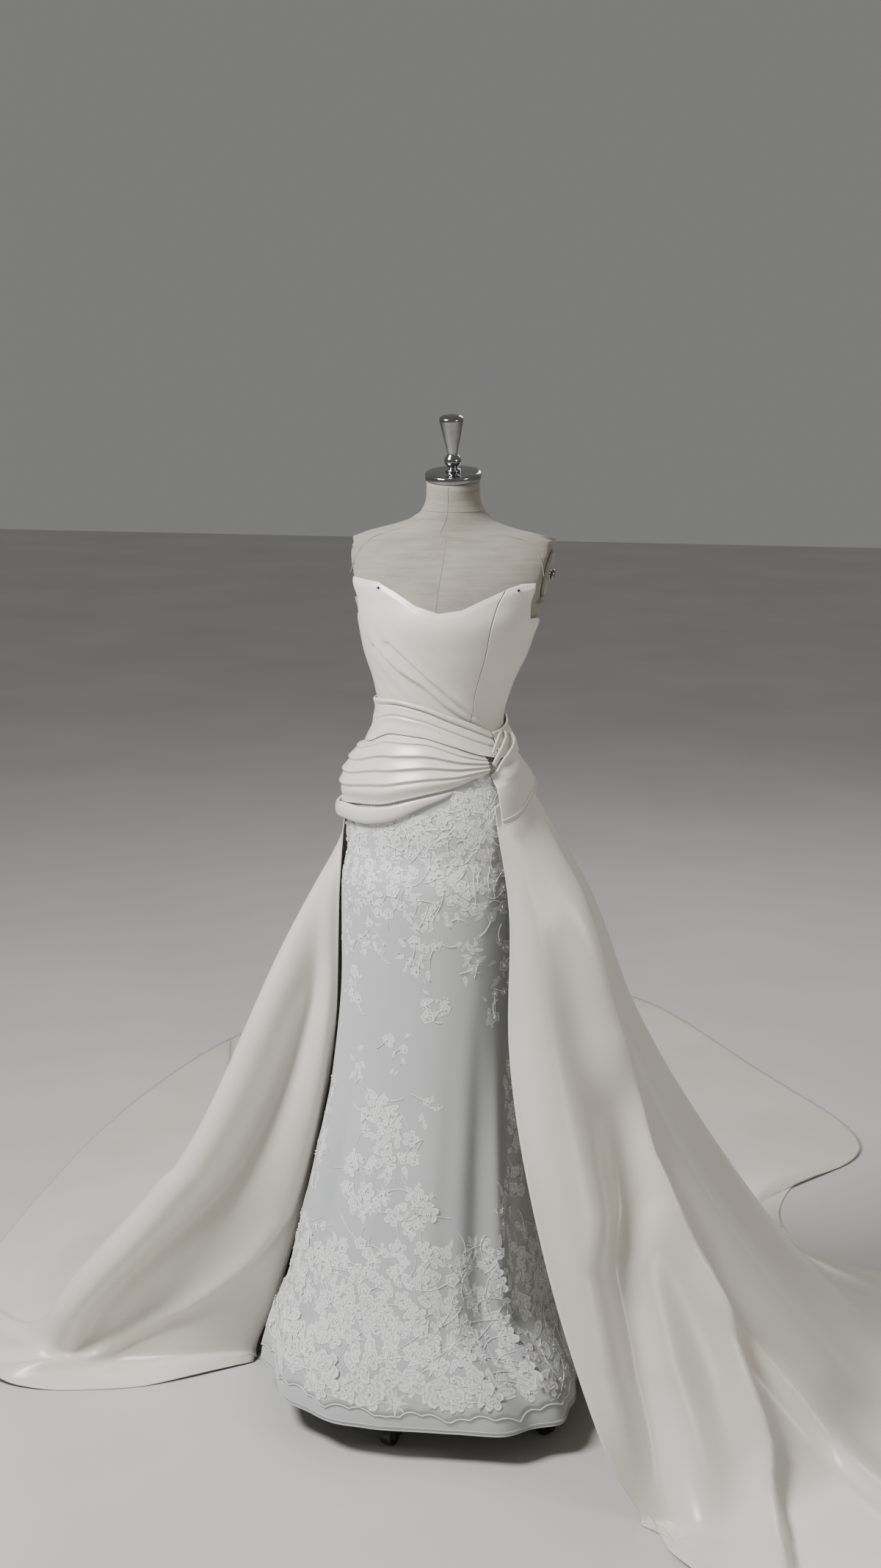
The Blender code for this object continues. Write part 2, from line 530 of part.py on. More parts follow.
def train(u_list, rows):
    cols = np.array([train_column(r) for r in TRAIN])
    at = np.linspace(0, 1, len(cols))
    P = []
    for u in u_list:
        nodes = np.array([curve(u, at, cols[:, k]) for k in range(cols.shape[1])])
        P.append([curve(v, V_AT, nodes) for v in np.linspace(0, 1, rows)])
    P = np.array(P)
    n = normals(P, False)
    out = P - P.mean((0, 1))
    out[..., 2] = 0
    if (n * out).sum() < 0:
        n = -n
    v = np.linspace(0, 1, rows)
    grow = step(v, 0.05, 0.5) * (1 - 0.55 * step(v, 0.62, 0.85)) * (1 - 0.5 * step(v, 0.9, 1.0))
    high = np.array([fold_at(u) for u in u_list])
    P = P + n * (high[:, None] * grow[None])[..., None]
    P[..., 2] = np.maximum(P[..., 2], 0.0028)
    return P


def fold_at(u):
    i = int(np.clip(np.searchsorted(FOLDS[:, 0], u, side="right") - 1, 0, len(FOLDS) - 2))
    t = (u - FOLDS[i, 0]) / (FOLDS[i + 1, 0] - FOLDS[i, 0])
    t = 0.5 - 0.5 * math.cos(math.pi * t)
    return FOLDS[i, 1] * (1 - t) + FOLDS[i + 1, 1] * t


def overskirt():
    u = np.linspace(0, 1, 53)
    P = train(u, 16)
    n = normals(P, False)
    if n[..., 2].sum() < 0:
        n = -n
    for name, lo, hi in (("overskirt_right", 0, 20), ("overskirt_back", 20, 36), ("overskirt_left", 36, 52)):
        part = P[lo:hi + 1].copy()
        for edge, inner, open_edge in ((0, 1, lo == 0), (-1, -2, hi == 52)):
            if not open_edge:
                d = part[inner] - part[edge]
                part[edge] += d / np.linalg.norm(d, axis=1, keepdims=True) * GAP / 2
        wall(name, part, 0.0016, "satin", n=n[lo:hi + 1])


# build
for old in list(bpy.data.objects):
    bpy.data.objects.remove(old)
torso()
hardware()
stand()
bodice("bodice_front", -86, 37, 20, 11)
bodice("bodice_side_right", 37, 90, 8, 8)
bodice("bodice_back_right", 90, 180, 9, 7)
bodice("bodice_back_left", 180, 274, 9, 7)
wraps()
flap_and_knot()
sheath_pieces()
overskirt()
bodies = list(bpy.data.objects)
corners = np.concatenate([[v.co[:] for v in obj.data.vertices] for obj in bodies])
low, high = corners.min(0), corners.max(0)
shift = np.array([-(low[0] + high[0]) / 2, -(low[1] + high[1]) / 2, -low[2]])
for obj in bodies:  # the origin is under the middle of the box
    for v in obj.data.vertices:
        v.co = np.array(v.co[:]) + shift
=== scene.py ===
# %% [markdown]
# # A wedding dress on a dress form
#
# The dress is a strapless satin bodice with a draped sash, a lace sheath, and
# an open satin overskirt that runs out into a train. It stands on a padded
# linen form with a chrome finial. The measured solids come in first as a
# fixed frame, and every finer piece below is laid where they are.

import math

import bpy
import numpy as np
from mathutils import Matrix, Vector


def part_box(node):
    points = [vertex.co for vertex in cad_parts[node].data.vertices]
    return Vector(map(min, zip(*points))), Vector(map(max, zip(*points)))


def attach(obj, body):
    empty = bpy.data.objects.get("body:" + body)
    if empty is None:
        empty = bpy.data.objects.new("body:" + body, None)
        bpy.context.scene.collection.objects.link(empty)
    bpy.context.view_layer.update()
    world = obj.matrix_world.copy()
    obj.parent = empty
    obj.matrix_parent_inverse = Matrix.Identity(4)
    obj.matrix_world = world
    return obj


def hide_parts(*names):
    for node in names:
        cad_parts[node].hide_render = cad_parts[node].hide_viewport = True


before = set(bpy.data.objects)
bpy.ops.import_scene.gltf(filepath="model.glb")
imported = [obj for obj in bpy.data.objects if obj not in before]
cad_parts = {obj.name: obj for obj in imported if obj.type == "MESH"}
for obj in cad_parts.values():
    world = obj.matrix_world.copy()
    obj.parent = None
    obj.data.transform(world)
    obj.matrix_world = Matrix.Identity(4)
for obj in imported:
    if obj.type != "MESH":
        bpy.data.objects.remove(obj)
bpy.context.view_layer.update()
pole_low, pole_high = (np.array(c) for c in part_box("stand_pole"))
AXIS = np.array([*(pole_low + pole_high)[:2] / 2, pole_low[2] - 0.130])  # foot of the form's axis
print("form axis at", AXIS.round(4))

# %% [markdown]
# ## Camera and light
#
# The camera stands to the right of the form's front and looks a little down.
# One big soft lamp overhead and two dimmer ones give satin its broad glow:
# satin only shows its folds when the light is large and comes from one side.

# %% Camera, lamps, floor
cam = bpy.data.objects.new("camera", bpy.data.cameras.new("camera"))
cam.location = (0.72821, -4.65666, 1.945)
cam.rotation_euler = (math.radians(78), 0, math.radians(12))
cam.data.lens, cam.data.sensor_width = 52.07, 36
bpy.context.scene.collection.objects.link(cam)
bpy.context.scene.camera = cam


def lamp(name, at, aim, size, watts, color=(1, 1, 1)):
    light = bpy.data.lights.new(name, "AREA")
    light.shape, light.size, light.energy, light.color = "DISK", size, watts, color
    obj = bpy.data.objects.new(name, light)
    obj.location = at
    obj.rotation_euler = (Vector(aim) - Vector(at)).to_track_quat("-Z", "Y").to_euler()
    bpy.context.scene.collection.objects.link(obj)


lamp("key_overhead", (-1.6, -2.4, 3.3), (0.0, -0.7, 0.6), 1.1, 165)
lamp("fill_right", (3.2, -2.6, 2.2), (0.2, -0.8, 0.7), 1.0, 26, (1.0, 0.95, 0.88))
lamp("back_wash", (0.6, 2.6, 3.2), (0, -0.2, 0.5), 2.0, 40, (1.0, 0.97, 0.93))
world = bpy.data.worlds.new("studio")
world.use_nodes = True
world.node_tree.nodes["Background"].inputs["Color"].default_value = (0.86, 0.85, 0.84, 1)
world.node_tree.nodes["Background"].inputs["Strength"].default_value = 0.24
bpy.context.scene.world = world


# %% [markdown]
# ## Finishes
#
# Each finish is a small node network. Cloth patterns read the piece's own UV
# map, which runs in metres along the thread, so a weave has its real size
# on every piece. Hard pieces read Object coordinates.

# %% Node helpers
def finish(name, rough, metal=0.0, spec=0.5, sheen=0.0, coat=0.0):
    m = bpy.data.materials.new(name)
    m.use_nodes = True
    nodes, links = m.node_tree.nodes, m.node_tree.links
    s = nodes["Principled BSDF"]
    s.inputs["Roughness"].default_value = rough
    s.inputs["Metallic"].default_value = metal
    s.inputs["Specular IOR Level"].default_value = spec
    s.inputs["Sheen Weight"].default_value = sheen
    s.inputs["Coat Weight"].default_value = coat
    return m, nodes, links, s


def noise(nodes, links, where, scale, detail=3.0, rough=0.5, stretch=(1, 1, 1)):
    at = nodes.new("ShaderNodeTexCoord").outputs[where]
    mapping = nodes.new("ShaderNodeMapping")
    mapping.inputs["Scale"].default_value = stretch
    links.new(at, mapping.inputs["Vector"])
    n = nodes.new("ShaderNodeTexNoise")
    n.inputs["Scale"].default_value = scale
    n.inputs["Detail"].default_value = detail
    n.inputs["Roughness"].default_value = rough
    links.new(mapping.outputs["Vector"], n.inputs["Vector"])
    return n.outputs["Fac"]


def ramp(nodes, links, fac, *stops):
    r = nodes.new("ShaderNodeValToRGB")
    while len(r.color_ramp.elements) < len(stops):
        r.color_ramp.elements.new(0.5)
    for e, (pos, color) in zip(r.color_ramp.elements, stops):
        e.position, e.color = pos, (*color, 1)
    links.new(fac, r.inputs["Fac"])
    return r.outputs["Color"]


def grey(v):
    return (v, v, v)


def tint(nodes, links, shader, socket, fac, *stops):
    """Runs a pattern through a ramp into one of the shader's sockets."""
    links.new(ramp(nodes, links, fac, *stops), shader.inputs[socket])


def wave(nodes, links, where, scale, axis, distort=0.0, turn=0.0):
    mapping = nodes.new("ShaderNodeMapping")
    mapping.inputs["Rotation"].default_value = (0, 0, turn)
    links.new(nodes.new("ShaderNodeTexCoord").outputs[where], mapping.inputs["Vector"])
    w = nodes.new("ShaderNodeTexWave")
    w.bands_direction = axis
    w.inputs["Scale"].default_value = scale
    w.inputs["Distortion"].default_value = distort
    links.new(mapping.outputs["Vector"], w.inputs["Vector"])
    return w.outputs["Fac"]


def combine(nodes, links, how, a, b):
    m = nodes.new("ShaderNodeMath")
    m.operation = how
    for k, x in enumerate((a, b)):
        if isinstance(x, (int, float)):
            m.inputs[k].default_value = x
        else:
            links.new(x, m.inputs[k])
    return m.outputs["Value"]


def bump(nodes, links, shader, height, strength, distance):
    b = nodes.new("ShaderNodeBump")
    b.inputs["Strength"].default_value = strength
    b.inputs["Distance"].default_value = distance
    links.new(height, b.inputs["Height"])
    links.new(b.outputs["Normal"], shader.inputs["Normal"])


# %% [markdown]
# ### Satin, lace, net and linen
#
# Duchess satin is smooth and ivory: a broad highlight, a warm shade, and a
# weave too fine to see until very close. The net is a grid of holes over a
# matt lining, the lace thread is bright and rough, and linen has thick
# uneven yarns with the odd slub.

# %% Cloth finishes
def satin_finish():
    m, n, l, s = finish("ivory_satin", 0.30, spec=0.60, sheen=0.12)
    s.inputs["Sheen Roughness"].default_value = 0.35
    cloudy = noise(n, l, "UV", 2.2, 3, 0.55)
    tint(n, l, s, "Base Color", cloudy, (0.32, (0.74, 0.695, 0.615)), (0.68, (0.80, 0.765, 0.70)))
    tint(n, l, s, "Roughness", noise(n, l, "UV", 7, 3), (0.3, grey(0.26)), (0.7, grey(0.33)))
    thread = noise(n, l, "UV", 300, 2, 0.6, (0.25, 2.5, 1))
    yarn = combine(n, l, "MULTIPLY", wave(n, l, "UV", 420, "X", 0.4, 0.6), 0.5)
    bump(n, l, s, combine(n, l, "ADD", yarn, thread), 0.06, 0.0004)
    return m


def net_finish():
    m, n, l, s = finish("lined_net", 0.78, spec=0.25, sheen=0.3)
    mesh_hole = n.new("ShaderNodeTexVoronoi")
    mesh_hole.feature = "DISTANCE_TO_EDGE"
    mesh_hole.inputs["Scale"].default_value = 520
    mesh_hole.inputs["Randomness"].default_value = 0.25
    l.new(n.new("ShaderNodeTexCoord").outputs["UV"], mesh_hole.inputs["Vector"])
    soft = noise(n, l, "UV", 3.5, 4, 0.6, (1, 0.35, 1))
    base = ramp(n, l, soft, (0.3, (0.50, 0.53, 0.525)), (0.7, (0.60, 0.62, 0.612)))
    thread = ramp(n, l, mesh_hole.outputs["Distance"], (0.02, grey(1.0)), (0.20, grey(0.90)))
    mix = n.new("ShaderNodeMix")
    mix.data_type, mix.blend_type = "RGBA", "MULTIPLY"
    mix.inputs[0].default_value = 1
    l.new(base, mix.inputs[6])
    l.new(thread, mix.inputs[7])
    l.new(mix.outputs[2], s.inputs["Base Color"])
    bump(n, l, s, mesh_hole.outputs["Distance"], 0.15, -0.0004)
    return m


def thread_finish():
    m, n, l, s = finish("lace_thread", 0.55, spec=0.45, sheen=0.4)
    tone = noise(n, l, "Object", 30, 3)
    tint(n, l, s, "Base Color", tone, (0.3, (0.80, 0.815, 0.81)), (0.7, (0.90, 0.905, 0.89)))
    bump(n, l, s, noise(n, l, "Object", 900, 2, 0.6), 0.5, 0.0004)
    return m


def motif_finish():
    """Bright cord round a quieter netted filling, told apart by the motif's own "cord" attribute."""
    m, n, l, s = finish("lace_motif", 0.55, spec=0.4, sheen=0.3)
    cord = n.new("ShaderNodeAttribute")
    cord.attribute_name = "cord"
    drawn = cord.outputs["Fac"]
    tint(n, l, s, "Base Color", drawn, (0.25, (0.56, 0.585, 0.58)), (0.80, (0.90, 0.905, 0.89)))
    bump(n, l, s, noise(n, l, "Object", 900, 2, 0.6), 0.5, 0.0004)
    return m


def bead_finish():
    m, n, l, s = finish("lace_bead", 0.18, spec=0.7, coat=0.4)
    tone = noise(n, l, "Object", 160, 1)
    tint(n, l, s, "Base Color", tone, (0.35, (0.78, 0.80, 0.80)), (0.65, (0.93, 0.93, 0.91)))
    return m


def linen_finish():
    m, n, l, s = finish("form_linen", 0.9, spec=0.2, sheen=0.1)
    warp = wave(n, l, "UV", 230, "X", 1.6)
    weft = wave(n, l, "UV", 230, "Y", 1.6)
    yarn = combine(n, l, "MAXIMUM", warp, weft)
    slub = noise(n, l, "UV", 120, 3, 0.65, (0.12, 1, 1))
    cloud = combine(n, l, "MULTIPLY", noise(n, l, "UV", 9, 4, 0.6), 0.45)
    tone = combine(n, l, "ADD", combine(n, l, "MULTIPLY", slub, 0.55), cloud)
    tint(n, l, s, "Base Color", tone, (0.30, (0.235, 0.215, 0.178)), (0.52, (0.305, 0.282, 0.240)),
         (0.75, (0.365, 0.340, 0.295)))
    bump(n, l, s, combine(n, l, "ADD", yarn, slub), 0.35, 0.0004)
    return m


SATIN, NET, THREAD = satin_finish(), net_finish(), thread_finish()
MOTIF, BEAD, LINEN = motif_finish(), bead_finish(), linen_finish()


# %% Hard finishes
def chrome_finish():
    m, n, l, s = finish("dark_chrome", 0.12, metal=1.0)
    tint(n, l, s, "Base Color", noise(n, l, "Object", 40, 3), (0.3, grey(0.30)), (0.7, grey(0.42)))
    tint(n, l, s, "Roughness", noise(n, l, "Object", 220, 4, 0.7), (0.35, grey(0.07)), (0.75, grey(0.22)))
    return m


def black_finish():
    m, n, l, s = finish("black_moulded", 0.42, spec=0.5)
    tint(n, l, s, "Base Color", noise(n, l, "Object", 60, 4), (0.35, grey(0.012)), (0.75, grey(0.035)))
    tint(n, l, s, "Roughness", noise(n, l, "Object", 300, 3), (0.3, grey(0.32)), (0.7, grey(0.52)))
    bump(n, l, s, noise(n, l, "Object", 1400, 2), 0.25, 0.0003)
    return m


def floor_finish():
    m, n, l, s = finish("pale_floor", 0.6, spec=0.3)
    tone = noise(n, l, "Object", 1.3, 4)
    tint(n, l, s, "Base Color", tone, (0.3, (0.60, 0.585, 0.56)), (0.7, (0.66, 0.645, 0.62)))
    return m


CHROME, BLACK, FLOOR = chrome_finish(), black_finish(), floor_finish()
floor_mesh = bpy.data.meshes.new("floor")
floor_mesh.from_pydata([(-14, -14, 0), (14, -14, 0), (14, 14, 0), (-14, 14, 0)], [], [(0, 1, 2, 3)])
floor = bpy.data.objects.new("floor", floor_mesh)
floor_mesh.materials.append(FLOOR)
bpy.context.scene.collection.objects.link(floor)

# %% [markdown]
# ## Curves and tables
#
# The form is a table of sections, and cloth lies on it at a named offset.
# These helpers run a smooth line through a table, find a point on the form,
# and turn a grid of points into a thin sheet with two faces and an edge.


# %% Curves through tables
def smooth(x, xs, ys):
    """Monotone cubic through a table: it never bulges past its rows."""
    xs, ys = np.asarray(xs, float), np.asarray(ys, float)
    if ys.ndim > 1:
        return np.stack([smooth(x, xs, ys[:, k]) for k in range(ys.shape[1])], -1)
    h, d = np.diff(xs), np.diff(ys) / np.diff(xs)
    m = np.zeros(len(xs))
    for i in range(1, len(xs) - 1):
        if d[i - 1] * d[i] > 0:
            w1, w2 = 2 * h[i] + h[i - 1], h[i] + 2 * h[i - 1]
            m[i] = (w1 + w2) / (w1 / d[i - 1] + w2 / d[i])
    m[0], m[-1] = d[0], d[-1]
    return hermite(np.clip(np.asarray(x, float), xs[0], xs[-1]), xs, ys, m)


def hermite(x, xs, ys, m):
    i = np.clip(np.searchsorted(xs, x, side="right") - 1, 0, len(xs) - 2)
    h = xs[i + 1] - xs[i]
    t = (x - xs[i]) / h
    if ys.ndim > 1:
        t, h = (a.reshape(a.shape + (1,) * (ys.ndim - 1)) for a in (t, h))
    return ((2 * t**3 - 3 * t**2 + 1) * ys[i] + (t**3 - 2 * t**2 + t) * h * m[i]
            + (3 * t**2 - 2 * t**3) * ys[i + 1] + (t**3 - t**2) * h * m[i + 1])


def curve(x, xs, ys):
    """A free curve through a table's rows: it swings past flat spots."""
    xs, ys = np.asarray(xs, float), np.asarray(ys, float)
    return hermite(np.asarray(x, float), xs, ys, np.gradient(ys, xs, axis=0))


def step(x, lo, hi):
    t = np.clip((np.asarray(x, float) - lo) / (hi - lo), 0, 1)
    return t * t * (3 - 2 * t)


def hump(x, mid, width):
    return np.exp(-((np.asarray(x, float) - mid) / width) ** 2)


# %% The form's sections
BODY = np.array([  # z, half width, front depth, back depth, x centre, y centre
    (0.980, 0.060, 0.050, 0.050, -0.018, -0.014),
    (0.984, 0.110, 0.085, 0.090, -0.018, -0.014),
    (0.996, 0.143, 0.107, 0.113, -0.019, -0.015),
    (1.060, 0.155, 0.116, 0.122, -0.020, -0.018),
    (1.130, 0.147, 0.110, 0.114, -0.020, -0.020),
    (1.200, 0.120, 0.093, 0.094, -0.018, -0.021),
    (1.255, 0.1035, 0.081, 0.080, -0.016, -0.022),
    (1.310, 0.115, 0.091, 0.087, -0.013, -0.020),
    (1.370, 0.138, 0.106, 0.096, -0.009, -0.018),
    (1.420, 0.151, 0.116, 0.100, -0.006, -0.015),
    (1.455, 0.163, 0.108, 0.100, -0.004, -0.012),
    (1.490, 0.185, 0.096, 0.096, -0.002, -0.008),
    (1.530, 0.190, 0.078, 0.086, 0.000, 0.000),
    (1.556, 0.176, 0.066, 0.078, 0.000, 0.005),
    (1.570, 0.120, 0.062, 0.072, -0.010, 0.005),
    (1.585, 0.075, 0.056, 0.062, -0.004, 0.003),
    (1.602, 0.054, 0.050, 0.052, 0.000, 0.000),
    (1.625, 0.0455, 0.0455, 0.046, 0.000, 0.000),
    (1.655, 0.0450, 0.0450, 0.045, 0.000, 0.000)])
ARM_LOW, ARM_X, ARM_LEAN = 1.455, 0.150, 0.215  # the flat armhole's foot, its half width there, its slope
VIEW_TURN = math.radians(12)  # the skirt tables are turned this far from the form
NECK_LEAN = math.radians(10)


def on_form(deg, z, off=0.0):
    """Points on the form, deg round from the front toward +X, moved out by off."""
    deg, z, off = np.broadcast_arrays(*(np.asarray(a, float) for a in (deg, z, off)))
    a, bf, bb, xc, yc = np.moveaxis(smooth(z, BODY[:, 0], BODY[:, 1:]), -1, 0)
    s, c = np.sin(np.radians(deg)), np.cos(np.radians(deg))
    b = np.where(c > 0, bf, bb)
    nx, ny = s / a, -c / b
    n = np.hypot(nx, ny)
    return np.stack([xc + a * s + off * nx / n, yc - b * c + off * ny / n, z], -1)


def turned_in(p):
    """From the skirt tables' frame onto the form."""
    c, s = math.cos(VIEW_TURN), math.sin(VIEW_TURN)
    return np.stack([p[..., 0] * c - p[..., 1] * s, p[..., 0] * s + p[..., 1] * c, p[..., 2]], -1)


# %% Grids into sheets
def grid_normals(P, ring):
    du = np.roll(P, -1, 0) - np.roll(P, 1, 0) if ring else np.gradient(P, axis=0)
    n = np.cross(du, np.gradient(P, axis=1))
    n /= np.maximum(np.linalg.norm(n, axis=2, keepdims=True), 1e-12)
    away = P - P.mean((0, 1))
    away[..., 2] = 0
    return -n if (n * away).sum() < 0 else n


def new_piece(name, points, faces, finish_used, uvs=None, flat_faces=None):
    mesh = bpy.data.meshes.new(name)
    faces = faces.tolist() if hasattr(faces, "tolist") else faces
    mesh.from_pydata((np.asarray(points) + AXIS).tolist(), [], faces)
    smooth_face = np.ones(len(mesh.polygons), bool)
    if flat_faces is not None:
        smooth_face[flat_faces] = False
    mesh.polygons.foreach_set("use_smooth", smooth_face)
    if uvs is not None:
        layer = mesh.uv_layers.new(name="UVMap")
        layer.data.foreach_set("uv", np.asarray(uvs, np.float32).ravel())
    mesh.materials.append(finish_used)
    obj = bpy.data.objects.new(name, mesh)
    bpy.context.scene.collection.objects.link(obj)
    return obj


def sheet_mesh(name, P, thick, finish_used, ring=False, n=None):
    """A thin sheet: P is its outer face, and its UVs run in metres.
    n: its outward normals, where it is one panel of a longer cloth that lies on the floor."""
    P = np.array(P, float)
    on_floor = n is not None
    n = n if on_floor else grid_normals(P, ring)
    Q = P - n * thick
    if on_floor:
        Q[..., 2] = np.maximum(Q[..., 2], 0.0006)
        P[..., 2] = np.maximum(P[..., 2], Q[..., 2] + 0.8 * thick * np.abs(n[..., 2]) ** 2)
    nu, nv = P.shape[:2]
    half = nu * nv
    I, J = np.meshgrid(np.arange(nu if ring else nu - 1), np.arange(nv - 1), indexing="ij")
    I, J = I.ravel(), J.ravel()
    K = (I + 1) % nu
    a, b, c, d = I * nv + J, K * nv + J, K * nv + J + 1, I * nv + J + 1
    front = np.stack([a, b, c, d], 1)
    across = np.linalg.norm(np.diff(np.concatenate([P, P[:1]]) if ring else P, axis=0), axis=2)
    U = np.concatenate([np.zeros((1, nv)), np.cumsum(across, 0)])
    U -= U[len(U) // 2]
    V = np.concatenate([np.zeros((nu, 1)), np.cumsum(np.linalg.norm(np.diff(P, axis=1), axis=2), 1)], 1)
    uv = np.stack([np.stack([U[I, J], V[I, J]], 1), np.stack([U[I + 1, J], V[K, J]], 1),
                   np.stack([U[I + 1, J + 1], V[K, J + 1]], 1), np.stack([U[I, J + 1], V[I, J + 1]], 1)], 1)
    e = P.reshape(-1, 3)
    face_n = np.cross(e[front[:, 2]] - e[front[:, 0]], e[front[:, 3]] - e[front[:, 1]])
    flipped = (face_n * n.reshape(-1, 3)[front[:, 0]]).sum() < 0
    if flipped:
        front, uv = front[:, ::-1], uv[:, ::-1]
    back, back_uv = front[:, ::-1] + half, uv[:, ::-1]
    i = np.arange(nu if ring else nu - 1)
    k = (i + 1) % nu
    edges = [np.stack([k * nv, i * nv], 1), np.stack([i * nv + nv - 1, k * nv + nv - 1], 1)]
    if not ring:
        j = np.arange(nv - 1)
        edges += [np.stack([j, j + 1], 1), np.stack([(nu - 1) * nv + j + 1, (nu - 1) * nv + j], 1)]
    E = np.concatenate(edges)
    rim = np.stack([E[:, 0], E[:, 1], E[:, 1] + half, E[:, 0] + half], 1)
    if flipped:
        rim = rim[:, ::-1]
    faces = np.concatenate([front, back, rim])
    rim_uv = np.zeros((len(rim), 4, 2))
    obj = new_piece(name, np.concatenate([e, Q.reshape(-1, 3)]), faces, finish_used,
                    np.concatenate([uv, back_uv, rim_uv]), np.arange(len(front) * 2, len(faces)))
    x = np.linalg.norm(np.cross(e[front[:, 1]] - e[front[:, 0]], e[front[:, 2]] - e[front[:, 0]]), axis=1)
    y = np.linalg.norm(np.cross(e[front[:, 2]] - e[front[:, 0]], e[front[:, 3]] - e[front[:, 0]]), axis=1)
    obj["area"] = float((x + y).sum() / 2)
    print(f"{name}: {len(faces)} faces, {obj['area']:.3f} m2")
    return obj


def lofted(name, rings, finish_used):
    """A solid skin over like rings, closed at both ends."""
    R = np.asarray(rings, float)
    k, n = R.shape[:2]
    I, J = np.meshgrid(np.arange(k - 1), np.arange(n), indexing="ij")
    I, J = I.ravel(), J.ravel()
    L = (J + 1) % n
    F = np.stack([I * n + J, I * n + L, (I + 1) * n + L, (I + 1) * n + J], 1)
    pts = R.reshape(-1, 3)
    c = pts[F].mean(1) - R.mean(1)[I] * 0.5 - R.mean(1)[I + 1] * 0.5
    fn = np.cross(pts[F[:, 2]] - pts[F[:, 0]], pts[F[:, 3]] - pts[F[:, 1]])
    sign = (fn * c).sum() > 0
    around = np.linalg.norm(np.roll(R, -1, 1) - R, axis=2)
    U = np.concatenate([np.zeros((k, 1)), np.cumsum(around, 1)], 1)
    V = np.concatenate([[0], np.cumsum(np.linalg.norm(np.diff(R.mean(1), axis=0), axis=1))])
    uv = np.stack([np.stack([U[I, J], V[I]], 1), np.stack([U[I, J + 1], V[I]], 1),
                   np.stack([U[I + 1, J + 1], V[I + 1]], 1), np.stack([U[I + 1, J], V[I + 1]], 1)], 1)
    if not sign:
        F, uv = F[:, ::-1], uv[:, ::-1]
    low, top = list(range(n)), [(k - 1) * n + j for j in range(n)]
    if sign:
        low = low[::-1]
    else:
        top = top[::-1]
    flat = uv.reshape(-1, 2).tolist() + [[0, 0]] * (2 * n)
    print(f"{name}: {len(F) + 2} faces")
    return new_piece(name, pts, F.tolist() + [low, top], finish_used, flat, [len(F), len(F) + 1])


def turned(name, profile, finish_used, n, axis, at):
    """A lathe piece: profile rows are (radius, distance along the axis)."""
    w = np.array(axis, float) / np.linalg.norm(axis)
    u = np.cross(w, (0.0, 1.0, 0.0) if abs(w[1]) < 0.9 else (1.0, 0.0, 0.0))
    u /= np.linalg.norm(u)
    v = np.cross(w, u)
    t = np.arange(n) * 2 * math.pi / n
    ring = np.cos(t)[:, None] * u + np.sin(t)[:, None] * v
    return lofted(name, [np.array(at) + w * h + r * ring for r, h in profile], finish_used)


def swept(name, path, radii, out, finish_used, n, flat, groove=0.0):
    """A soft band swept along a path, flattened toward out, with a groove round it."""
    path, out = np.asarray(path, float), np.asarray(out, float)
    T = np.gradient(path, axis=0)
    T /= np.linalg.norm(T, axis=1, keepdims=True)
    a = out - T * (out * T).sum(1, keepdims=True)
    a /= np.linalg.norm(a, axis=1, keepdims=True)
    b = np.cross(T, a)
    k = np.arange(n) * 2 * math.pi / n
    r = np.asarray(radii, float)[:, None] * (1 - groove * np.exp(-((np.cos(k) - 1) / 0.12) ** 2))[None]
    x, y = flat * (r * np.cos(k))[..., None], (r * np.sin(k))[..., None]
    return lofted(name, path[:, None] + x * a[:, None] + y * b[:, None], finish_used)


# %% [markdown]
# ## Geometry Nodes for what repeats
#
# Two small trees do the repeated work. One sweeps a round cord along drawn
# lines, for piping, seams and stems. The other sets a small shape on points,
# turned and sized by attributes, for flowers, leaves, beads and stitches.


# %% The two trees
def new_tree(name, inputs, made, kinds):
    """A tree with named inputs and one output, and the nodes that it needs."""
    t = bpy.data.node_groups.new(name, "GeometryNodeTree")
    for socket, kind in inputs:
        t.interface.new_socket(socket, in_out="INPUT", socket_type="NodeSocket" + kind)
    t.interface.new_socket(made, in_out="OUTPUT", socket_type="NodeSocketGeometry")
    return t, [t.nodes.new(kind) for kind in ("NodeGroupInput", "NodeGroupOutput", *kinds)]


def join(tree, *links):
    for a, out, b, into in links:
        tree.links.new(a.outputs[out], b.inputs[into])


def cord_tree():
    t, (i, o, line, ring, sweep, shade, real, paint) = new_tree(
        "cord_on_lines",
        (("Lines", "Geometry"), ("Radius", "Float"), ("Sides", "Int"), ("Finish", "Material")), "Cords",
        ("GeometryNodeMeshToCurve", "GeometryNodeCurvePrimitiveCircle", "GeometryNodeCurveToMesh",
         "GeometryNodeSetShadeSmooth", "GeometryNodeRealizeInstances", "GeometryNodeSetMaterial"))
    sweep.inputs["Fill Caps"].default_value = True
    join(t, (i, "Lines", line, "Mesh"), (i, "Sides", ring, "Resolution"), (i, "Radius", ring, "Radius"),
         (line, "Curve", sweep, "Curve"), (ring, "Curve", sweep, "Profile Curve"),
         (sweep, "Mesh", shade, "Geometry"), (shade, "Geometry", real, "Geometry"),
         (real, "Geometry", paint, "Geometry"), (i, "Finish", paint, "Material"),
         (paint, "Geometry", o, "Cords"))
    return t


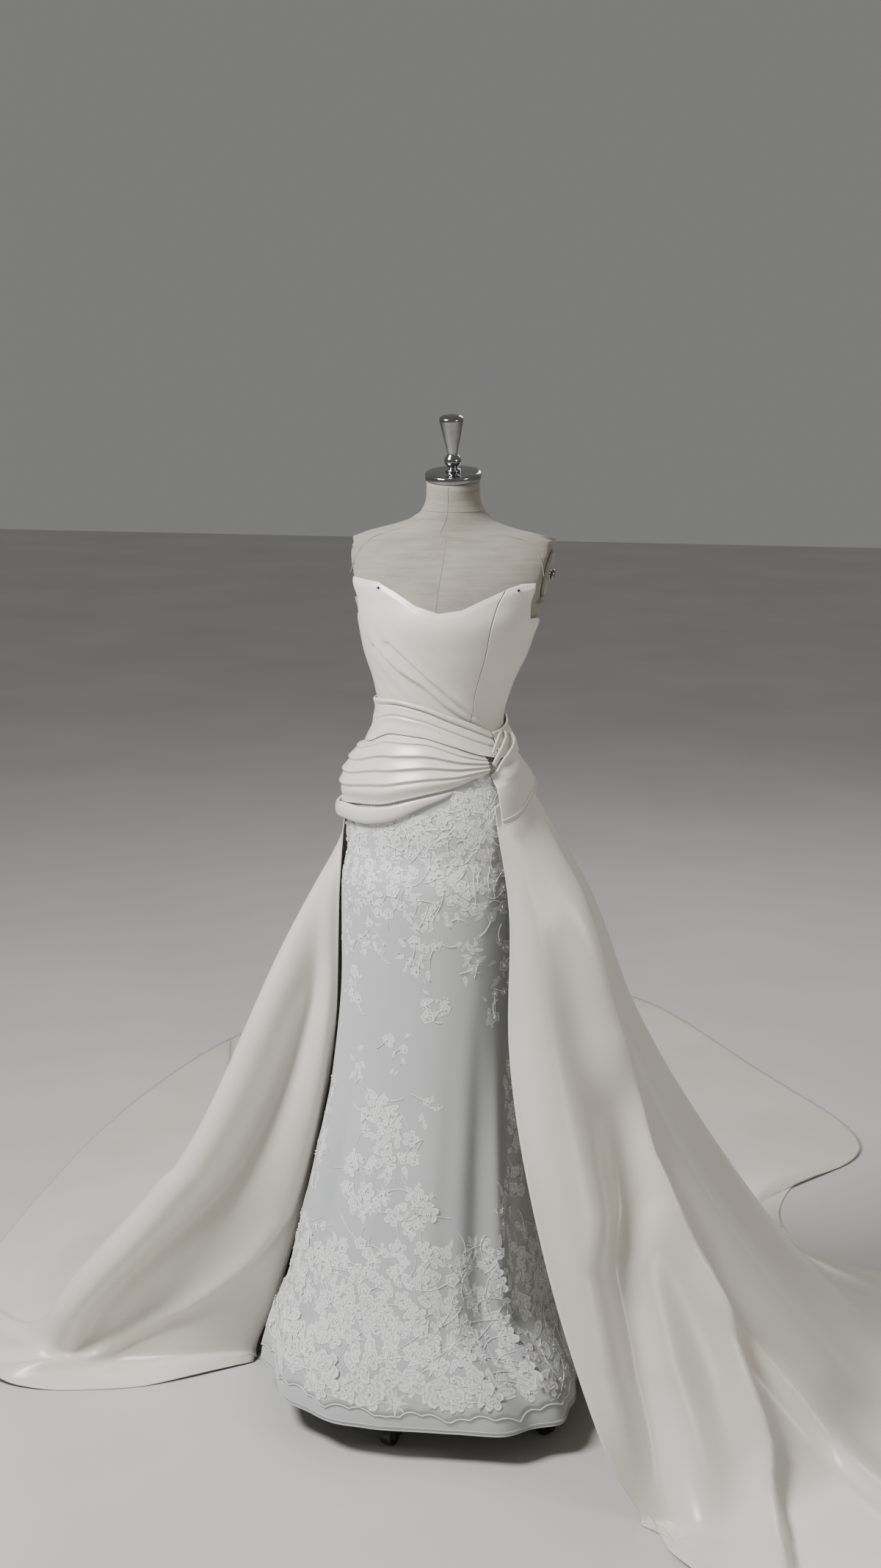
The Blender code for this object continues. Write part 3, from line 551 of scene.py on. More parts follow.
def scatter_tree():
    t, (i, o, pts, info, put, aim, size, times, to_turn, real, paint) = new_tree(
        "shape_on_points",
        (("Points", "Geometry"), ("Shape", "Object"), ("Size", "Float"), ("Finish", "Material")), "Pieces",
        ("GeometryNodeMeshToPoints", "GeometryNodeObjectInfo", "GeometryNodeInstanceOnPoints",
         "GeometryNodeInputNamedAttribute", "GeometryNodeInputNamedAttribute", "ShaderNodeMath",
         "FunctionNodeEulerToRotation", "GeometryNodeRealizeInstances", "GeometryNodeSetMaterial"))
    aim.data_type, size.data_type = "FLOAT_VECTOR", "FLOAT"
    aim.inputs["Name"].default_value, size.inputs["Name"].default_value = "aim", "size"
    times.operation = "MULTIPLY"
    join(t, (i, "Points", pts, "Mesh"), (i, "Shape", info, "Object"), (pts, "Points", put, "Points"),
         (info, "Geometry", put, "Instance"), (aim, "Attribute", to_turn, "Euler"),
         (to_turn, "Rotation", put, "Rotation"), (size, "Attribute", times, 0), (i, "Size", times, 1),
         (times, "Value", put, "Scale"), (put, "Instances", real, "Geometry"),
         (real, "Geometry", paint, "Geometry"), (i, "Finish", paint, "Material"),
         (paint, "Geometry", o, "Pieces"))
    return t


CORD, SCATTER = cord_tree(), scatter_tree()


def grown(name, mesh, tree, **inputs):
    """Runs a tree on a mesh and keeps its result as a plain mesh."""
    seed = bpy.data.objects.new(name + "_seed", mesh)
    bpy.context.scene.collection.objects.link(seed)
    mod = seed.modifiers.new("grow", "NODES")
    mod.node_group = tree
    for item in tree.interface.items_tree:
        if item.item_type == "SOCKET" and item.in_out == "INPUT" and item.name in inputs:
            mod[item.identifier] = inputs[item.name]
    made = bpy.data.meshes.new_from_object(seed.evaluated_get(bpy.context.evaluated_depsgraph_get()))
    bpy.data.objects.remove(seed)
    made.name = name
    obj = bpy.data.objects.new(name, made)
    bpy.context.scene.collection.objects.link(obj)
    print(f"{name}: {len(made.polygons)} faces")
    return obj


def cords(name, lines, radius, finish_used, sides=8):
    pts, edges = [], []
    for line in lines:
        start = len(pts)
        pts += (np.asarray(line) + AXIS).tolist()
        edges += [(start + k, start + k + 1) for k in range(len(line) - 1)]
    mesh = bpy.data.meshes.new(name)
    mesh.from_pydata(pts, edges, [])
    return grown(name, mesh, CORD, Radius=radius, Sides=sides, Finish=finish_used)


def scattered(name, points, aims, sizes, shape, finish_used, size=1.0):
    mesh = bpy.data.meshes.new(name)
    mesh.from_pydata((np.asarray(points) + AXIS).tolist(), [], [])
    kept = (("aim", "FLOAT_VECTOR", "vector", aims), ("size", "FLOAT", "value", sizes))
    for key, kind, field, values in kept:
        data = mesh.attributes.new(key, kind, "POINT").data
        data.foreach_set(field, np.asarray(values, np.float32).ravel())
    return grown(name, mesh, SCATTER, Shape=shape, Size=size, Finish=finish_used)


def aims_of(tangents, outs):
    """Euler turns that lay a shape's x along the tangent and its z outwards."""
    aims = []
    for t, n in zip(tangents, outs):
        z = Vector(n).normalized()
        x = (Vector(t) - z * Vector(t).dot(z)).normalized()
        aims.append(Matrix((x, z.cross(x), z)).transposed().to_euler()[:])
    return aims


# %% [markdown]
# ## The form
#
# A tailor's form is papier-mâché under a stretched linen cover, sewn in
# panels. Its cover is lofted from the table's sections, the armholes are cut
# flat, and the seams are fine welts laid on by the cord tree.

# %% Torso cover
def neck_slope(p, z):
    """Cuts the neck's end on a slope, higher at the back."""
    p[..., 2] += p[..., 1] * math.tan(NECK_LEAN) * step(z, 1.60, 1.65)


zs = np.unique(np.concatenate([BODY[:, 0], np.linspace(0.996, 1.655, 60), [0.9802, 0.9822, 0.987, 0.991]]))
R = on_form(np.arange(120)[None] * 3.0, zs[:, None])
lim = np.where(zs >= ARM_LOW, ARM_X + (zs - ARM_LOW) * ARM_LEAN, 1.0)[:, None]
R[..., 0] = np.clip(R[..., 0], -lim, lim)
neck_slope(R, zs[:, None])
form_cover = lofted("form_cover", R, LINEN)
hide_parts("form_torso")


def seam_line(deg, z0, z1):
    z = np.linspace(z0, z1, 70)
    p = on_form(np.interp(z, [z0, z1], deg) if np.ndim(deg) else deg, z, 0.0001)
    neck_slope(p, z)
    return p


seams = [seam_line(0, 1.44, 1.652), seam_line(180, 1.405, 1.652)]
seams += [seam_line([s * 62, s * 40], 1.50, 1.60) for s in (-1, 1)]
seams += [seam_line([s * 128, s * 140], 1.41, 1.60) for s in (-1, 1)]
form_seams = cords("form_seams", seams, 0.0006, LINEN, 6)
form_collar = cords("form_collar", [on_form(np.arange(0, 361, 4), 1.6035, 0.0001)], 0.0007, LINEN, 6)

# %% [markdown]
# The armhole plates are board discs covered in the same linen. A narrow band
# is bound round each armhole and sewn down, and a chrome knob holds the disc.

# %% Armhole plates, knobs and stitches
PLATE_HIGH, PLATE_DEEP = 0.041, 0.033
PLATE = (  # share of the plate's outline, distance out
    (0.97, 0), (0.992, 0.0004), (1.0, 0.0012), (1.0, 0.0034), (0.99, 0.0043), (0.96, 0.005), (0.90, 0.0052),
    (0.86, 0.0050))
KNOB = (  # radius, distance out, as in every turned piece
    (0.0075, 0), (0.0076, 0.0005), (0.0062, 0.0014), (0.0060, 0.0028), (0.0068, 0.0036), (0.0088, 0.0043),
    (0.0094, 0.0053), (0.0094, 0.0070), (0.0086, 0.0082), (0.0060, 0.0089), (0.0030, 0.0091))


def plate_line(q, up):
    """The plate's oval outline, q radians round from its back."""
    q = np.asarray(q)[..., None]
    return PLATE_HIGH * np.sin(q) * up + PLATE_DEEP * np.cos(q) * np.array([0, 1.0, 0])


lean = math.atan(ARM_LEAN)
stitch_pts, stitch_aims, arm_bands = [], [], []
for side, word in ((-1, "left"), (1, "right")):
    out = np.array([side * math.cos(lean), 0, -math.sin(lean)])
    up = np.array([side * math.sin(lean), 0, math.cos(lean)])
    mid = np.array([side * (ARM_X + 0.045 * ARM_LEAN), -0.001, ARM_LOW + 0.045]) + out * 0.0004
    oval = plate_line(np.linspace(0, 2 * math.pi, 65)[:-1], up)
    plate = lofted("arm_disc_" + word, [mid + out * h + r * oval for r, h in PLATE], LINEN)
    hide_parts("arm_plate_" + word)
    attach(plate, "dress_and_form")
    knob = turned("arm_screw_" + word, KNOB, CHROME, 40, out, mid + out * 0.0052)
    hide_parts("arm_knob_" + word)
    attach(knob, "dress_and_form")
    ring = mid + out * 0.0052 + 0.94 * oval
    arm_bands.append(np.concatenate([ring, ring[:1]]))
    for q in np.linspace(0, 2 * math.pi, 61)[:-1]:
        stitch_pts.append(mid + out * 0.0054 + 0.86 * plate_line(q, up))
        stitch_aims.append((plate_line(q + math.pi / 2, up), out))
form_bands = cords("form_arm_bands", arm_bands, 0.0009, LINEN, 8)


def bar_shape(name, length, radius):
    """A short six-sided bar along x with tapered ends."""
    t = np.arange(6) * math.pi / 3
    ends = ((-0.5, 0.4), (-0.4, 1), (0.4, 1), (0.5, 0.4))
    rings = [[(x * length, r * radius * math.cos(q), r * radius * math.sin(q)) for q in t] for x, r in ends]
    obj = lofted(name, np.array(rings) - AXIS, LINEN)
    obj.hide_render = True
    return obj


stitch = bar_shape("one_stitch", 0.0022, 0.00028)
stitch_turns, stitch_sizes = aims_of(*zip(*stitch_aims)), np.ones(len(stitch_pts))
form_stitches = scattered("form_stitches", stitch_pts, stitch_turns, stitch_sizes, stitch, THREAD)
bpy.data.objects.remove(stitch)
for o in (form_cover, form_seams, form_collar, form_bands, form_stitches):
    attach(o, "dress_and_form")

# %% [markdown]
# ### Chrome cap, finial and pins
#
# The neck is closed by a dark chrome cap, and a turned finial is screwed on
# to it: a ball, a slender flared stem and a domed top. Both tilt forward.

# %% Cap, finial, pins
NECK = np.array([0.0, -math.sin(NECK_LEAN), math.cos(NECK_LEAN)])
CAP_AT = np.array([0, 0, 1.6553])
CAP = (
    (0.0455, 0), (0.0468, 0.0005), (0.0475, 0.0018), (0.0475, 0.0086), (0.0470, 0.0100), (0.0456, 0.0112),
    (0.0430, 0.0118), (0.0340, 0.0122), (0.020, 0.0125))
FINIAL = (
    (0.0125, 0), (0.0128, 0.0008), (0.0125, 0.003), (0.0096, 0.0042), (0.0076, 0.0058), (0.0082, 0.0078),
    (0.0108, 0.0100), (0.0132, 0.0134), (0.0144, 0.0170), (0.0143, 0.0200), (0.0132, 0.0230), (0.0108, 0.0262),
    (0.0086, 0.0284), (0.0082, 0.0300), (0.0090, 0.0325), (0.0110, 0.0430), (0.0150, 0.0600), (0.0182, 0.0760),
    (0.0200, 0.0850), (0.0204, 0.0876), (0.0201, 0.0898), (0.0190, 0.0916), (0.0164, 0.0932), (0.0120, 0.0943),
    (0.0050, 0.0950))
PIN = (
    (0.0004, -0.0045), (0.0004, -0.0022), (0.0012, -0.0018), (0.0020, -0.0009), (0.0024, 0.0002),
    (0.0021, 0.0012), (0.0013, 0.0019), (0.0005, 0.0022))
neck_disc = turned("neck_disc", CAP, CHROME, 72, NECK, CAP_AT)
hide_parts("neck_cap")
top_knob = turned("top_knob", FINIAL, CHROME, 56, NECK, CAP_AT + NECK * 0.0128)
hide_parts("finial")
for o in (neck_disc, top_knob):
    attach(o, "dress_and_form")
PIN_Z = 1.480
for name, node, deg in (("glass_pin_left", "pin_left", -35), ("glass_pin_right", "pin_right", 45)):
    p, q = on_form(deg, PIN_Z, 0.0049), on_form(deg, PIN_Z, 0.0)
    pin = turned(name, PIN, BLACK, 16, p - q, p)
    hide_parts(node)
    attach(pin, "dress_and_form")

# %% [markdown]
# ## The bodice
#
# The bodice is four pieces of satin: a wide front with two
# pleats laid across it on the slant, a right side front beyond the princess
# seam, and two backs. Each pleat is a soft rise that ends in a sharp drop.

# %% Neckline, pleats and the sash's edges
NECKLINE = np.array([  # degrees round the form, z
    (-180, 1.410), (-130, 1.412), (-95, 1.420), (-80, 1.428), (-70, 1.430), (-62, 1.460), (-57, 1.494),
    (-35, 1.489), (-24, 1.474), (-13, 1.455), (2, 1.443), (16, 1.449), (26, 1.464), (39, 1.484), (46, 1.490),
    (56, 1.490), (62, 1.462), (70, 1.430), (80, 1.429), (95, 1.420), (130, 1.412), (180, 1.410)])
BODICE_LOW, SATIN_THICK = 1.222, 0.0013
PLEATS = (  # (degrees, z) along the pleat's sharp lower edge, and its height
    (((-47, 1.386), (-26, 1.346), (-7, 1.322), (11, 1.290), (32, 1.262), (44, 1.246)), 0.0062),
    (((-32, 1.394), (-21, 1.374), (-2, 1.334), (19, 1.298), (36, 1.274)), 0.0054),
)
SASH = np.array([  # degrees, z of the top edge, z of the low edge
    (-301, 1.239, 1.196), (-290, 1.241, 1.196), (-240, 1.262, 1.200), (-180, 1.275, 1.205),
    (-120, 1.282, 1.210), (-68, 1.288, 1.214), (-33, 1.293, 1.236), (-8, 1.286, 1.234), (15, 1.271, 1.223),
    (40, 1.254, 1.205), (58, 1.238, 1.196)])


def sash_edge(d):
    return smooth(d, SASH[:, 0], SASH[:, 1:]).T


def bodice_lift(deg, z, v):
    off = 0.0023 + 0.0017 * step(v, 0, 0.05) + 0.004 * hump(deg, 86, 17) * step(z, 1.385, 1.435)
    shown = step(z - sash_edge(deg[:, 0])[0][:, None], -0.002, 0.010)  # flat where the sash lies over it
    for line, high in PLEATS:
        d, zz = np.array(line).T
        above = z - np.interp(deg, d, zz)
        shape = np.where(above > 0, np.exp(-(above / 0.017) ** 2), np.exp(-(above / 0.0024) ** 2))
        dip = 0.35 * np.exp(-((above + 0.008) / 0.006) ** 2)
        along = step(deg, d[0] - 10, d[0] + 8) * (1 - step(deg, d[-1], d[-1] + 8))
        off = off + high * (shape - dip) * along * shown
    drag = np.sin((z + 0.0019 * deg) * 190)  # faint lines that run with the pleats
    off = off + 0.0007 * drag * shown * hump(deg, 0, 45) * step(1.40 - z, 0, 0.06)
    return off


def bodice_piece(name, node, lo, hi, cols, rows):
    d = np.linspace(lo + 0.25, hi - 0.25, cols)
    for k in (-57, 56):
        if lo < k < hi:
            d[np.argmin(abs(d - k))] = k
    wrapped = (d + 180) % 360 - 180
    top = np.interp(wrapped, NECKLINE[:, 0], NECKLINE[:, 1])
    v = np.linspace(0, 1, rows)
    z = top[:, None] + (BODICE_LOW - top)[:, None] * v[None]
    P = on_form(d[:, None], z, bodice_lift(wrapped[:, None], z, v[None]))
    obj = sheet_mesh(name, P, SATIN_THICK, SATIN)
    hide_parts(node)
    return obj


bodice = [bodice_piece("satin_bodice_front", "bodice_front", -86, 37, 190, 150),
          bodice_piece("satin_bodice_side", "bodice_side_right", 37, 90, 70, 100),
          bodice_piece("satin_bodice_back_r", "bodice_back_right", 90, 180, 80, 60),
          bodice_piece("satin_bodice_back_l", "bodice_back_left", 180, 274, 80, 60)]

# %% [markdown]
# ## Sash, drape, roll and flap
#
# The waist is wrapped: a sash on the slant, below it a drape gathered into a
# knot at the left hip, a rolled edge under that, and beyond the knot a flap
# with two rows of piping. Each is one grid laid over the form at its own lift.

# %% Sash and drape
DRAPE = np.array([  # degrees, z of the low edge
    (-180, 1.118), (-120, 1.108), (-81, 1.106), (-50, 1.112), (-29, 1.118),
    (-13, 1.130), (3, 1.142), (21, 1.154), (33, 1.165), (46, 1.174)])
ROLL = np.array([  # degrees, z of the middle, half height
    (-178, 1.104, 0.008), (-120, 1.096, 0.012), (-80, 1.0935, 0.013), (-62, 1.097, 0.0145),
    (-46, 1.096, 0.0150), (-31, 1.1005, 0.0145), (-19, 1.109, 0.0125), (-8, 1.121, 0.0095), (2, 1.131, 0.0065),
    (12, 1.140, 0.0040), (19, 1.1475, 0.0012)])
FLAP = np.array([  # degrees, z of the top edge, z of the low edge
    (47, 1.170, 1.088), (57, 1.180, 1.094), (67, 1.189, 1.104), (77, 1.191, 1.118), (88, 1.189, 1.132),
    (98, 1.176, 1.150)])


def band(name, node, degs, rows, edge, lift):
    top, low = edge(degs)
    v = np.linspace(0, 1, rows)
    z = top[:, None] + (low - top)[:, None] * v[None]
    obj = sheet_mesh(name, on_form(degs[:, None], z, lift(degs[:, None], v[None])), SATIN_THICK, SATIN)
    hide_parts(node)
    return obj


def sash_lift(d, v):
    front = step(d, -80, -30)
    lift = 0.0068 + 0.0017 * step(v, 0, 0.05) + 0.0045 * np.sin(math.pi * np.minimum(v, 0.5)) ** 0.7
    lift = lift + 0.0018 * np.cos(4 * math.pi * v) * (1 - v) + 0.0020 * step(v, 0.55, 0.9)
    roll_at = 0.16 + 0.10 * step(d, -30, 50)
    lines = 0.0012 * hump(v, roll_at - 0.09, 0.05) - 0.0042 * hump(v, roll_at, 0.030)
    return lift + front * (lines - 0.0026 * hump(v, roll_at + 0.33, 0.040))


def drape_edge(d):
    return np.array([sash_edge(d)[1] + 0.006 - 0.0075 * step(d, 0, 28), smooth(d, DRAPE[:, 0], DRAPE[:, 1])])


def drape_lift(d, v):
    fold = (v * 5.2 + 0.1) % 1  # each pleat swells toward its lower edge, then drops
    saw = np.where(fold < 0.8, (fold / 0.8) ** 1.6, (1 - fold) / 0.2)
    pleat = 0.0050 * (saw - 0.45) * (1 - step(v, 0.72, 0.90))
    side = 0.012 * hump(d, -95, 42) * np.sin(math.pi * np.minimum(v * 1.1, 1)) ** 0.8
    low = (0.0085 + side) * step(v, 0.8, 1.0) * step(d, -75, -45)
    rise = (0.0071 + pleat + side) * step(v, 0.06, 0.17)
    return 0.0117 + 0.0012 * step(-d, 176, 180) + rise + 0.0010 * v - low


sash = band("satin_sash", "sash_upper", np.linspace(-300.8, 58, 300), 70, sash_edge, sash_lift)
drape = band("satin_drape", "hip_drape", np.linspace(-187, 46, 228), 110, drape_edge, drape_lift)
flap_d = np.linspace(47.5, 98, 80)


def flap_edge(d):
    top, low = smooth(d, FLAP[:, 0], FLAP[:, 1:]).T
    return np.array([top + 0.008 * hump(d, 82, 9), low])


def flap_lift(d, v):
    far = step(d, 64, 84)
    ripple = 0.003 * np.cos(math.pi * (d - 47) / 25) * v
    return 0.0085 + 0.0080 * far + (0.0120 - 0.0100 * far) * step(v, 0, 0.3) + 0.002 * v + ripple


flap = band("satin_flap", "hip_flap", flap_d, 60, flap_edge, flap_lift)

# %% Roll, piping and the knot's three bands
d = np.linspace(-176, 18, 176)
mid_z, half_h = smooth(d, ROLL[:, 0], ROLL[:, 1:]).T
roll_off = 0.0165 - 0.0075 * step(d, -72, -45) + 0.45 * half_h + 0.001 * hump(d, -80, 40)
roll_path = on_form(d, mid_z - 0.001, roll_off)
roll_out = roll_path - on_form(d, mid_z - 0.001, 0)
roll = swept("satin_roll", roll_path, half_h * 0.95, roll_out, SATIN, 28, 0.44)
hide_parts("hip_roll")
top, low = flap_edge(flap_d)
lines = [on_form(flap_d, top + (low - top) * v, flap_lift(flap_d, v) + 0.0004) for v in (1.0, 0.90)]
piping = cords("satin_piping", lines, 0.0013, SATIN, 10)
LOOPS = (  # node, (degrees, z, distance off the form) along the band, half width
    ("knot_loop_1", ((49.5, 1.176, 0.0260), (57, 1.192, 0.0275), (67, 1.206, 0.0275), (77, 1.218, 0.0248),
                     (86, 1.231, 0.0148)), 0.0056),
    ("knot_loop_2", ((48.5, 1.188, 0.0238), (55, 1.204, 0.0258), (63, 1.219, 0.0250), (71, 1.229, 0.0200),
                     (77, 1.236, 0.0120)), 0.0054),
    ("knot_loop_3", ((50.5, 1.207, 0.0225), (55, 1.220, 0.0242), (60.5, 1.231, 0.0222), (65.5, 1.236, 0.0182),
                     (69, 1.236, 0.0118)), 0.0044),
)
knots = []
for name, line, r in LOOPS:
    line = np.array(line)
    s = np.linspace(0, len(line) - 1, 48)
    p = curve(s, np.arange(len(line)), line)
    path = on_form(p[:, 0], p[:, 1], p[:, 2])
    radii = r * (0.75 + 0.3 * np.sin(np.pi * s / s[-1]))
    knot = swept("satin_" + name, path, radii, np.array([(0.72, -0.69, 0)] * len(s)), SATIN, 24, 0.45, 0.18)
    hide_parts(name)
    knots.append(knot)
for o in (sash, drape, flap, roll, piping, *bodice, *knots):
    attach(o, "dress_and_form")

# %% [markdown]
# ## The sheath: net and lace
#
# Under the overskirt hangs a narrow lace sheath. Its net is one ring of
# cloth from the hip to the hem, with a plain band at the foot. The lace over
# it ends in scallops, and carries corded flowers and leaves sewn on.

# %% The sheath's surface
SHEATH = np.array([  # z, half width, half depth, x centre, y centre
    (1.060, 0.1650, 0.1300, -0.022, -0.016),
    (0.950, 0.1650, 0.1340, -0.026, -0.014),
    (0.810, 0.1640, 0.1400, -0.028, -0.010),
    (0.620, 0.1760, 0.1570, -0.034, -0.008),
    (0.450, 0.1990, 0.1860, -0.047, -0.008),
    (0.300, 0.2240, 0.2200, -0.057, -0.008),
    (0.160, 0.2500, 0.2500, -0.060, -0.010)])
HEM = np.array([  # degrees round, distance from the axis
    (-180, 0.352), (-168, 0.322), (-147, 0.334), (-132, 0.322), (-120, 0.300), (-90, 0.284), (-72, 0.308),
    (-58, 0.308), (-38, 0.268), (-25, 0.244), (-12, 0.234), (0, 0.244), (14, 0.278), (30, 0.312), (60, 0.324),
    (90, 0.330), (120, 0.335), (150, 0.345), (180, 0.352)])
HEM_Z = 0.060
SOFT_FOLDS = (  # degrees round, width in degrees, height
    (-152, 5, 0.004), (-141, 5, -0.004), (-80, 6, -0.004), (-64, 5, -0.006), (-53, 4, 0.007), (-44, 4, -0.005))


def on_sheath(ang, z):
    """Points of the net's outer face, ang round in the skirt tables' frame."""
    ang, z = np.broadcast_arrays(np.asarray(ang, float), np.asarray(z, float))
    a, b, xc, yc = np.moveaxis(smooth(-z, -SHEATH[:, 0], SHEATH[:, 1:]), -1, 0)
    c, s = np.cos(np.radians(ang)), np.sin(np.radians(ang))
    w = (ang + 180) % 360 - 180
    r_hem = smooth(w, HEM[:, 0], HEM[:, 1])
    k = step(-z, -0.24, -HEM_Z)
    wave_out = 0.0035 * np.cos(np.radians(ang * 9 + 20)) * step(-z, -0.75, -0.1)
    for mid, width, high in SOFT_FOLDS:
        wave_out = wave_out + high * hump(w, mid, width) * step(-z, -0.80, -0.40)
    x = (xc + a * c) * (1 - k) + c * r_hem * k + c * wave_out
    y = (yc + b * s) * (1 - k) + s * r_hem * k + s * wave_out
    low = turned_in(np.stack([x, y, z], -1))
    k = step(z, 0.96, 1.05)[..., None]
    high = on_form(ang + 102, np.maximum(z, 1.02), 0.0018 + 0.0032 * step(-z, -1.19, -1.16))
    high[..., 2] = z
    return low * (1 - k) + k * high


def sheath_normals(ang, z):
    e = 0.4
    du = on_sheath(ang + e, z) - on_sheath(ang - e, z)
    dv = on_sheath(ang, z + 0.003) - on_sheath(ang, z - 0.003)
    n = np.cross(du, dv)
    return n / np.linalg.norm(n, axis=-1, keepdims=True)


def on_lace(ang, z, lift):
    return on_sheath(ang, z) + sheath_normals(ang, z) * lift


angs = np.arange(240) * 1.5 - 180
z_net = np.concatenate([np.linspace(1.19, 1.0, 40), np.linspace(0.99, HEM_Z, 110)])
net = sheet_mesh("net_sheath", on_sheath(angs[:, None], z_net[None]), 0.0010, NET, ring=True)
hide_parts("sheath_tulle")


def lace_end(ang):
    """The scalloped edge's height: small petals in uneven runs."""
    w = np.radians(ang)
    return 0.081 + 0.012 * np.abs(np.sin(8 * w)) + 0.006 * np.abs(np.sin(22 * w + 0.7)) + 0.003 * np.cos(2 * w)


v = np.concatenate([np.linspace(0, 0.2, 30), np.linspace(0.21, 1, 84)])
fine = np.arange(330) * (360 / 330) - 180
z_lace = 1.186 + (lace_end(fine)[:, None] - 1.186) * v[None]
lace = sheet_mesh("lace_ground", on_lace(fine[:, None], z_lace, 0.0021), 0.0009, NET, ring=True)
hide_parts("sheath_lace")
hem_lines = [on_sheath(np.append(angs, 180.0), HEM_Z + up) for up in (0.001, 0.007)]
hem_binding = cords("net_hem_binding", hem_lines, 0.0012, NET, 8)

# %% [markdown]
# ### Corded flowers and leaves
#
# The lace is embroidered: five-petalled flowers, daisies and leaves in
# raised cord, in bouquets joined by thin stems, with beads at the hearts.
# Each motif is one small mesh. A seeded draw fills every bouquet, so the
# spread looks sewn by hand and comes out the same on each run.


# %% Motif shapes
def motif(name, outline, rings, height):
    """A small relief: rings of (share of the outline, height), closed at the heart."""
    n = len(outline)
    layers = [np.c_[outline * r, np.full(n, h * height)] for r, h in rings]
    pts = np.concatenate([[(0, 0, rings[0][1] * height)]] + layers)
    F = [(0, 1 + j, 1 + (j + 1) % n) for j in range(n)]
    for k in range(1, len(rings) * n - n, n):
        F += [(k + j, k + n + j, k + n + (j + 1) % n, k + (j + 1) % n) for j in range(n)]
    obj = new_piece(name, pts - AXIS, F, MOTIF)
    cord = obj.data.attributes.new("cord", "FLOAT", "POINT")
    heights = np.concatenate([[rings[0][1]], np.repeat([h for _, h in rings], n)])
    cord.data.foreach_set("value", heights.astype(np.float32))
    obj.hide_render = True
    return obj


def petal_outline(petals, depth, n, sharp=1.0):
    t = np.arange(n) * 2 * math.pi / n
    r = 1 - depth + depth * np.abs(np.cos(t * petals / 2)) ** sharp
    return np.c_[r * np.cos(t), r * np.sin(t)]


def leaf_outline(n):
    t = np.arange(n) * 2 * math.pi / n
    return np.c_[np.cos(t), 0.42 * np.sin(t) * (1 - 0.35 * np.cos(t))]


RIM = (1.02, -0.4)
rose = motif("motif_rose", petal_outline(5, 0.42, 20, 0.7),
             [(0.16, 1.3), (0.32, 0.2), (0.52, 0.8), (0.70, 0.2), (0.91, 1.4), RIM], 0.0020)
blossom = motif("motif_blossom", petal_outline(5, 0.5, 15, 0.8),
                [(0.24, 1.2), (0.60, 0.2), (0.91, 1.3), RIM], 0.0017)
daisy = motif("motif_daisy", petal_outline(8, 0.62, 16, 0.8),
              [(0.24, 1.4), (0.60, 0.25), (0.92, 1.2), RIM], 0.0016)
leaf = motif("motif_leaf", leaf_outline(10), [(0.25, 1.0), (0.50, 0.2), (0.90, 1.25), RIM], 0.0016)
bead = motif("motif_bead", petal_outline(1, 0.0, 8), [(0.6, 0.9), (1.0, 0.4), (0.9, -0.3)], 1.0)

# %% Bouquets and sprays
rng = np.random.default_rng(7)
M_PER_DEG = 0.0035  # along the lace, about
BOUQUETS = [  # angle, z, half width (degrees), half height (m), flowers, leaves, flower size (m)
    (-59, 1.142, 9, 0.026, 6, 16, 0.012), (-75, 1.126, 8, 0.020, 5, 12, 0.012),
    (-66, 1.105, 12, 0.030, 8, 22, 0.012), (-88, 1.092, 12, 0.024, 8, 20, 0.012),
    (-112, 1.088, 12, 0.020, 6, 18, 0.012), (-136, 1.084, 12, 0.018, 6, 16, 0.012),
    (-50, 1.10, 8, 0.035, 6, 16, 0.012), (-168, 1.045, 22, 0.05, 10, 26, 0.013),
    (-140, 1.045, 22, 0.05, 12, 34, 0.013), (-112, 1.05, 22, 0.05, 12, 34, 0.013),
    (-84, 1.05, 22, 0.05, 12, 34, 0.013), (-56, 1.05, 20, 0.05, 12, 30, 0.013),
    (-150, 0.965, 20, 0.045, 8, 30, 0.012), (-118, 0.965, 18, 0.045, 8, 30, 0.012),
    (-86, 0.965, 18, 0.045, 8, 30, 0.012), (-56, 0.965, 16, 0.045, 8, 28, 0.012),
    (-160, 0.875, 12, 0.04, 4, 14, 0.011), (-132, 0.885, 10, 0.035, 4, 12, 0.011),
    (-100, 0.87, 12, 0.045, 6, 18, 0.012), (-72, 0.86, 9, 0.04, 4, 12, 0.011),
    (-48, 0.84, 8, 0.05, 4, 12, 0.011), (-150, 0.79, 10, 0.035, 4, 10, 0.012),
    (-92, 0.78, 8, 0.03, 3, 10, 0.012), (-56, 0.77, 6, 0.03, 2, 7, 0.011),
    (-112, 0.70, 8, 0.045, 2, 8, 0.010), (-140, 0.66, 8, 0.03, 2, 7, 0.011),
    (-92, 0.60, 5, 0.03, 1, 6, 0.010), (-120, 0.585, 12, 0.045, 8, 22, 0.015),
    (-108, 0.52, 12, 0.04, 6, 20, 0.014), (-124, 0.46, 14, 0.05, 8, 24, 0.016),
    (-96, 0.43, 10, 0.04, 5, 18, 0.015), (-168, 0.58, 8, 0.05, 4, 14, 0.012),
    (-166, 0.47, 9, 0.06, 6, 20, 0.014), (-42, 0.62, 6, 0.05, 4, 14, 0.012),
    (-36, 0.52, 7, 0.06, 6, 20, 0.013), (-44, 0.42, 9, 0.05, 6, 20, 0.014)]
for a in range(-176, -20, 14):
    BOUQUETS += [(a, 0.335, 9, 0.035, 4, 14, 0.016), (a + 7, 0.26, 9, 0.035, 6, 15, 0.018)]
for a in range(-178, -16, 8):
    BOUQUETS += [(a, 0.205, 5, 0.035, 4, 6, 0.023), (a + 4, 0.135, 5, 0.030, 5, 6, 0.028)]
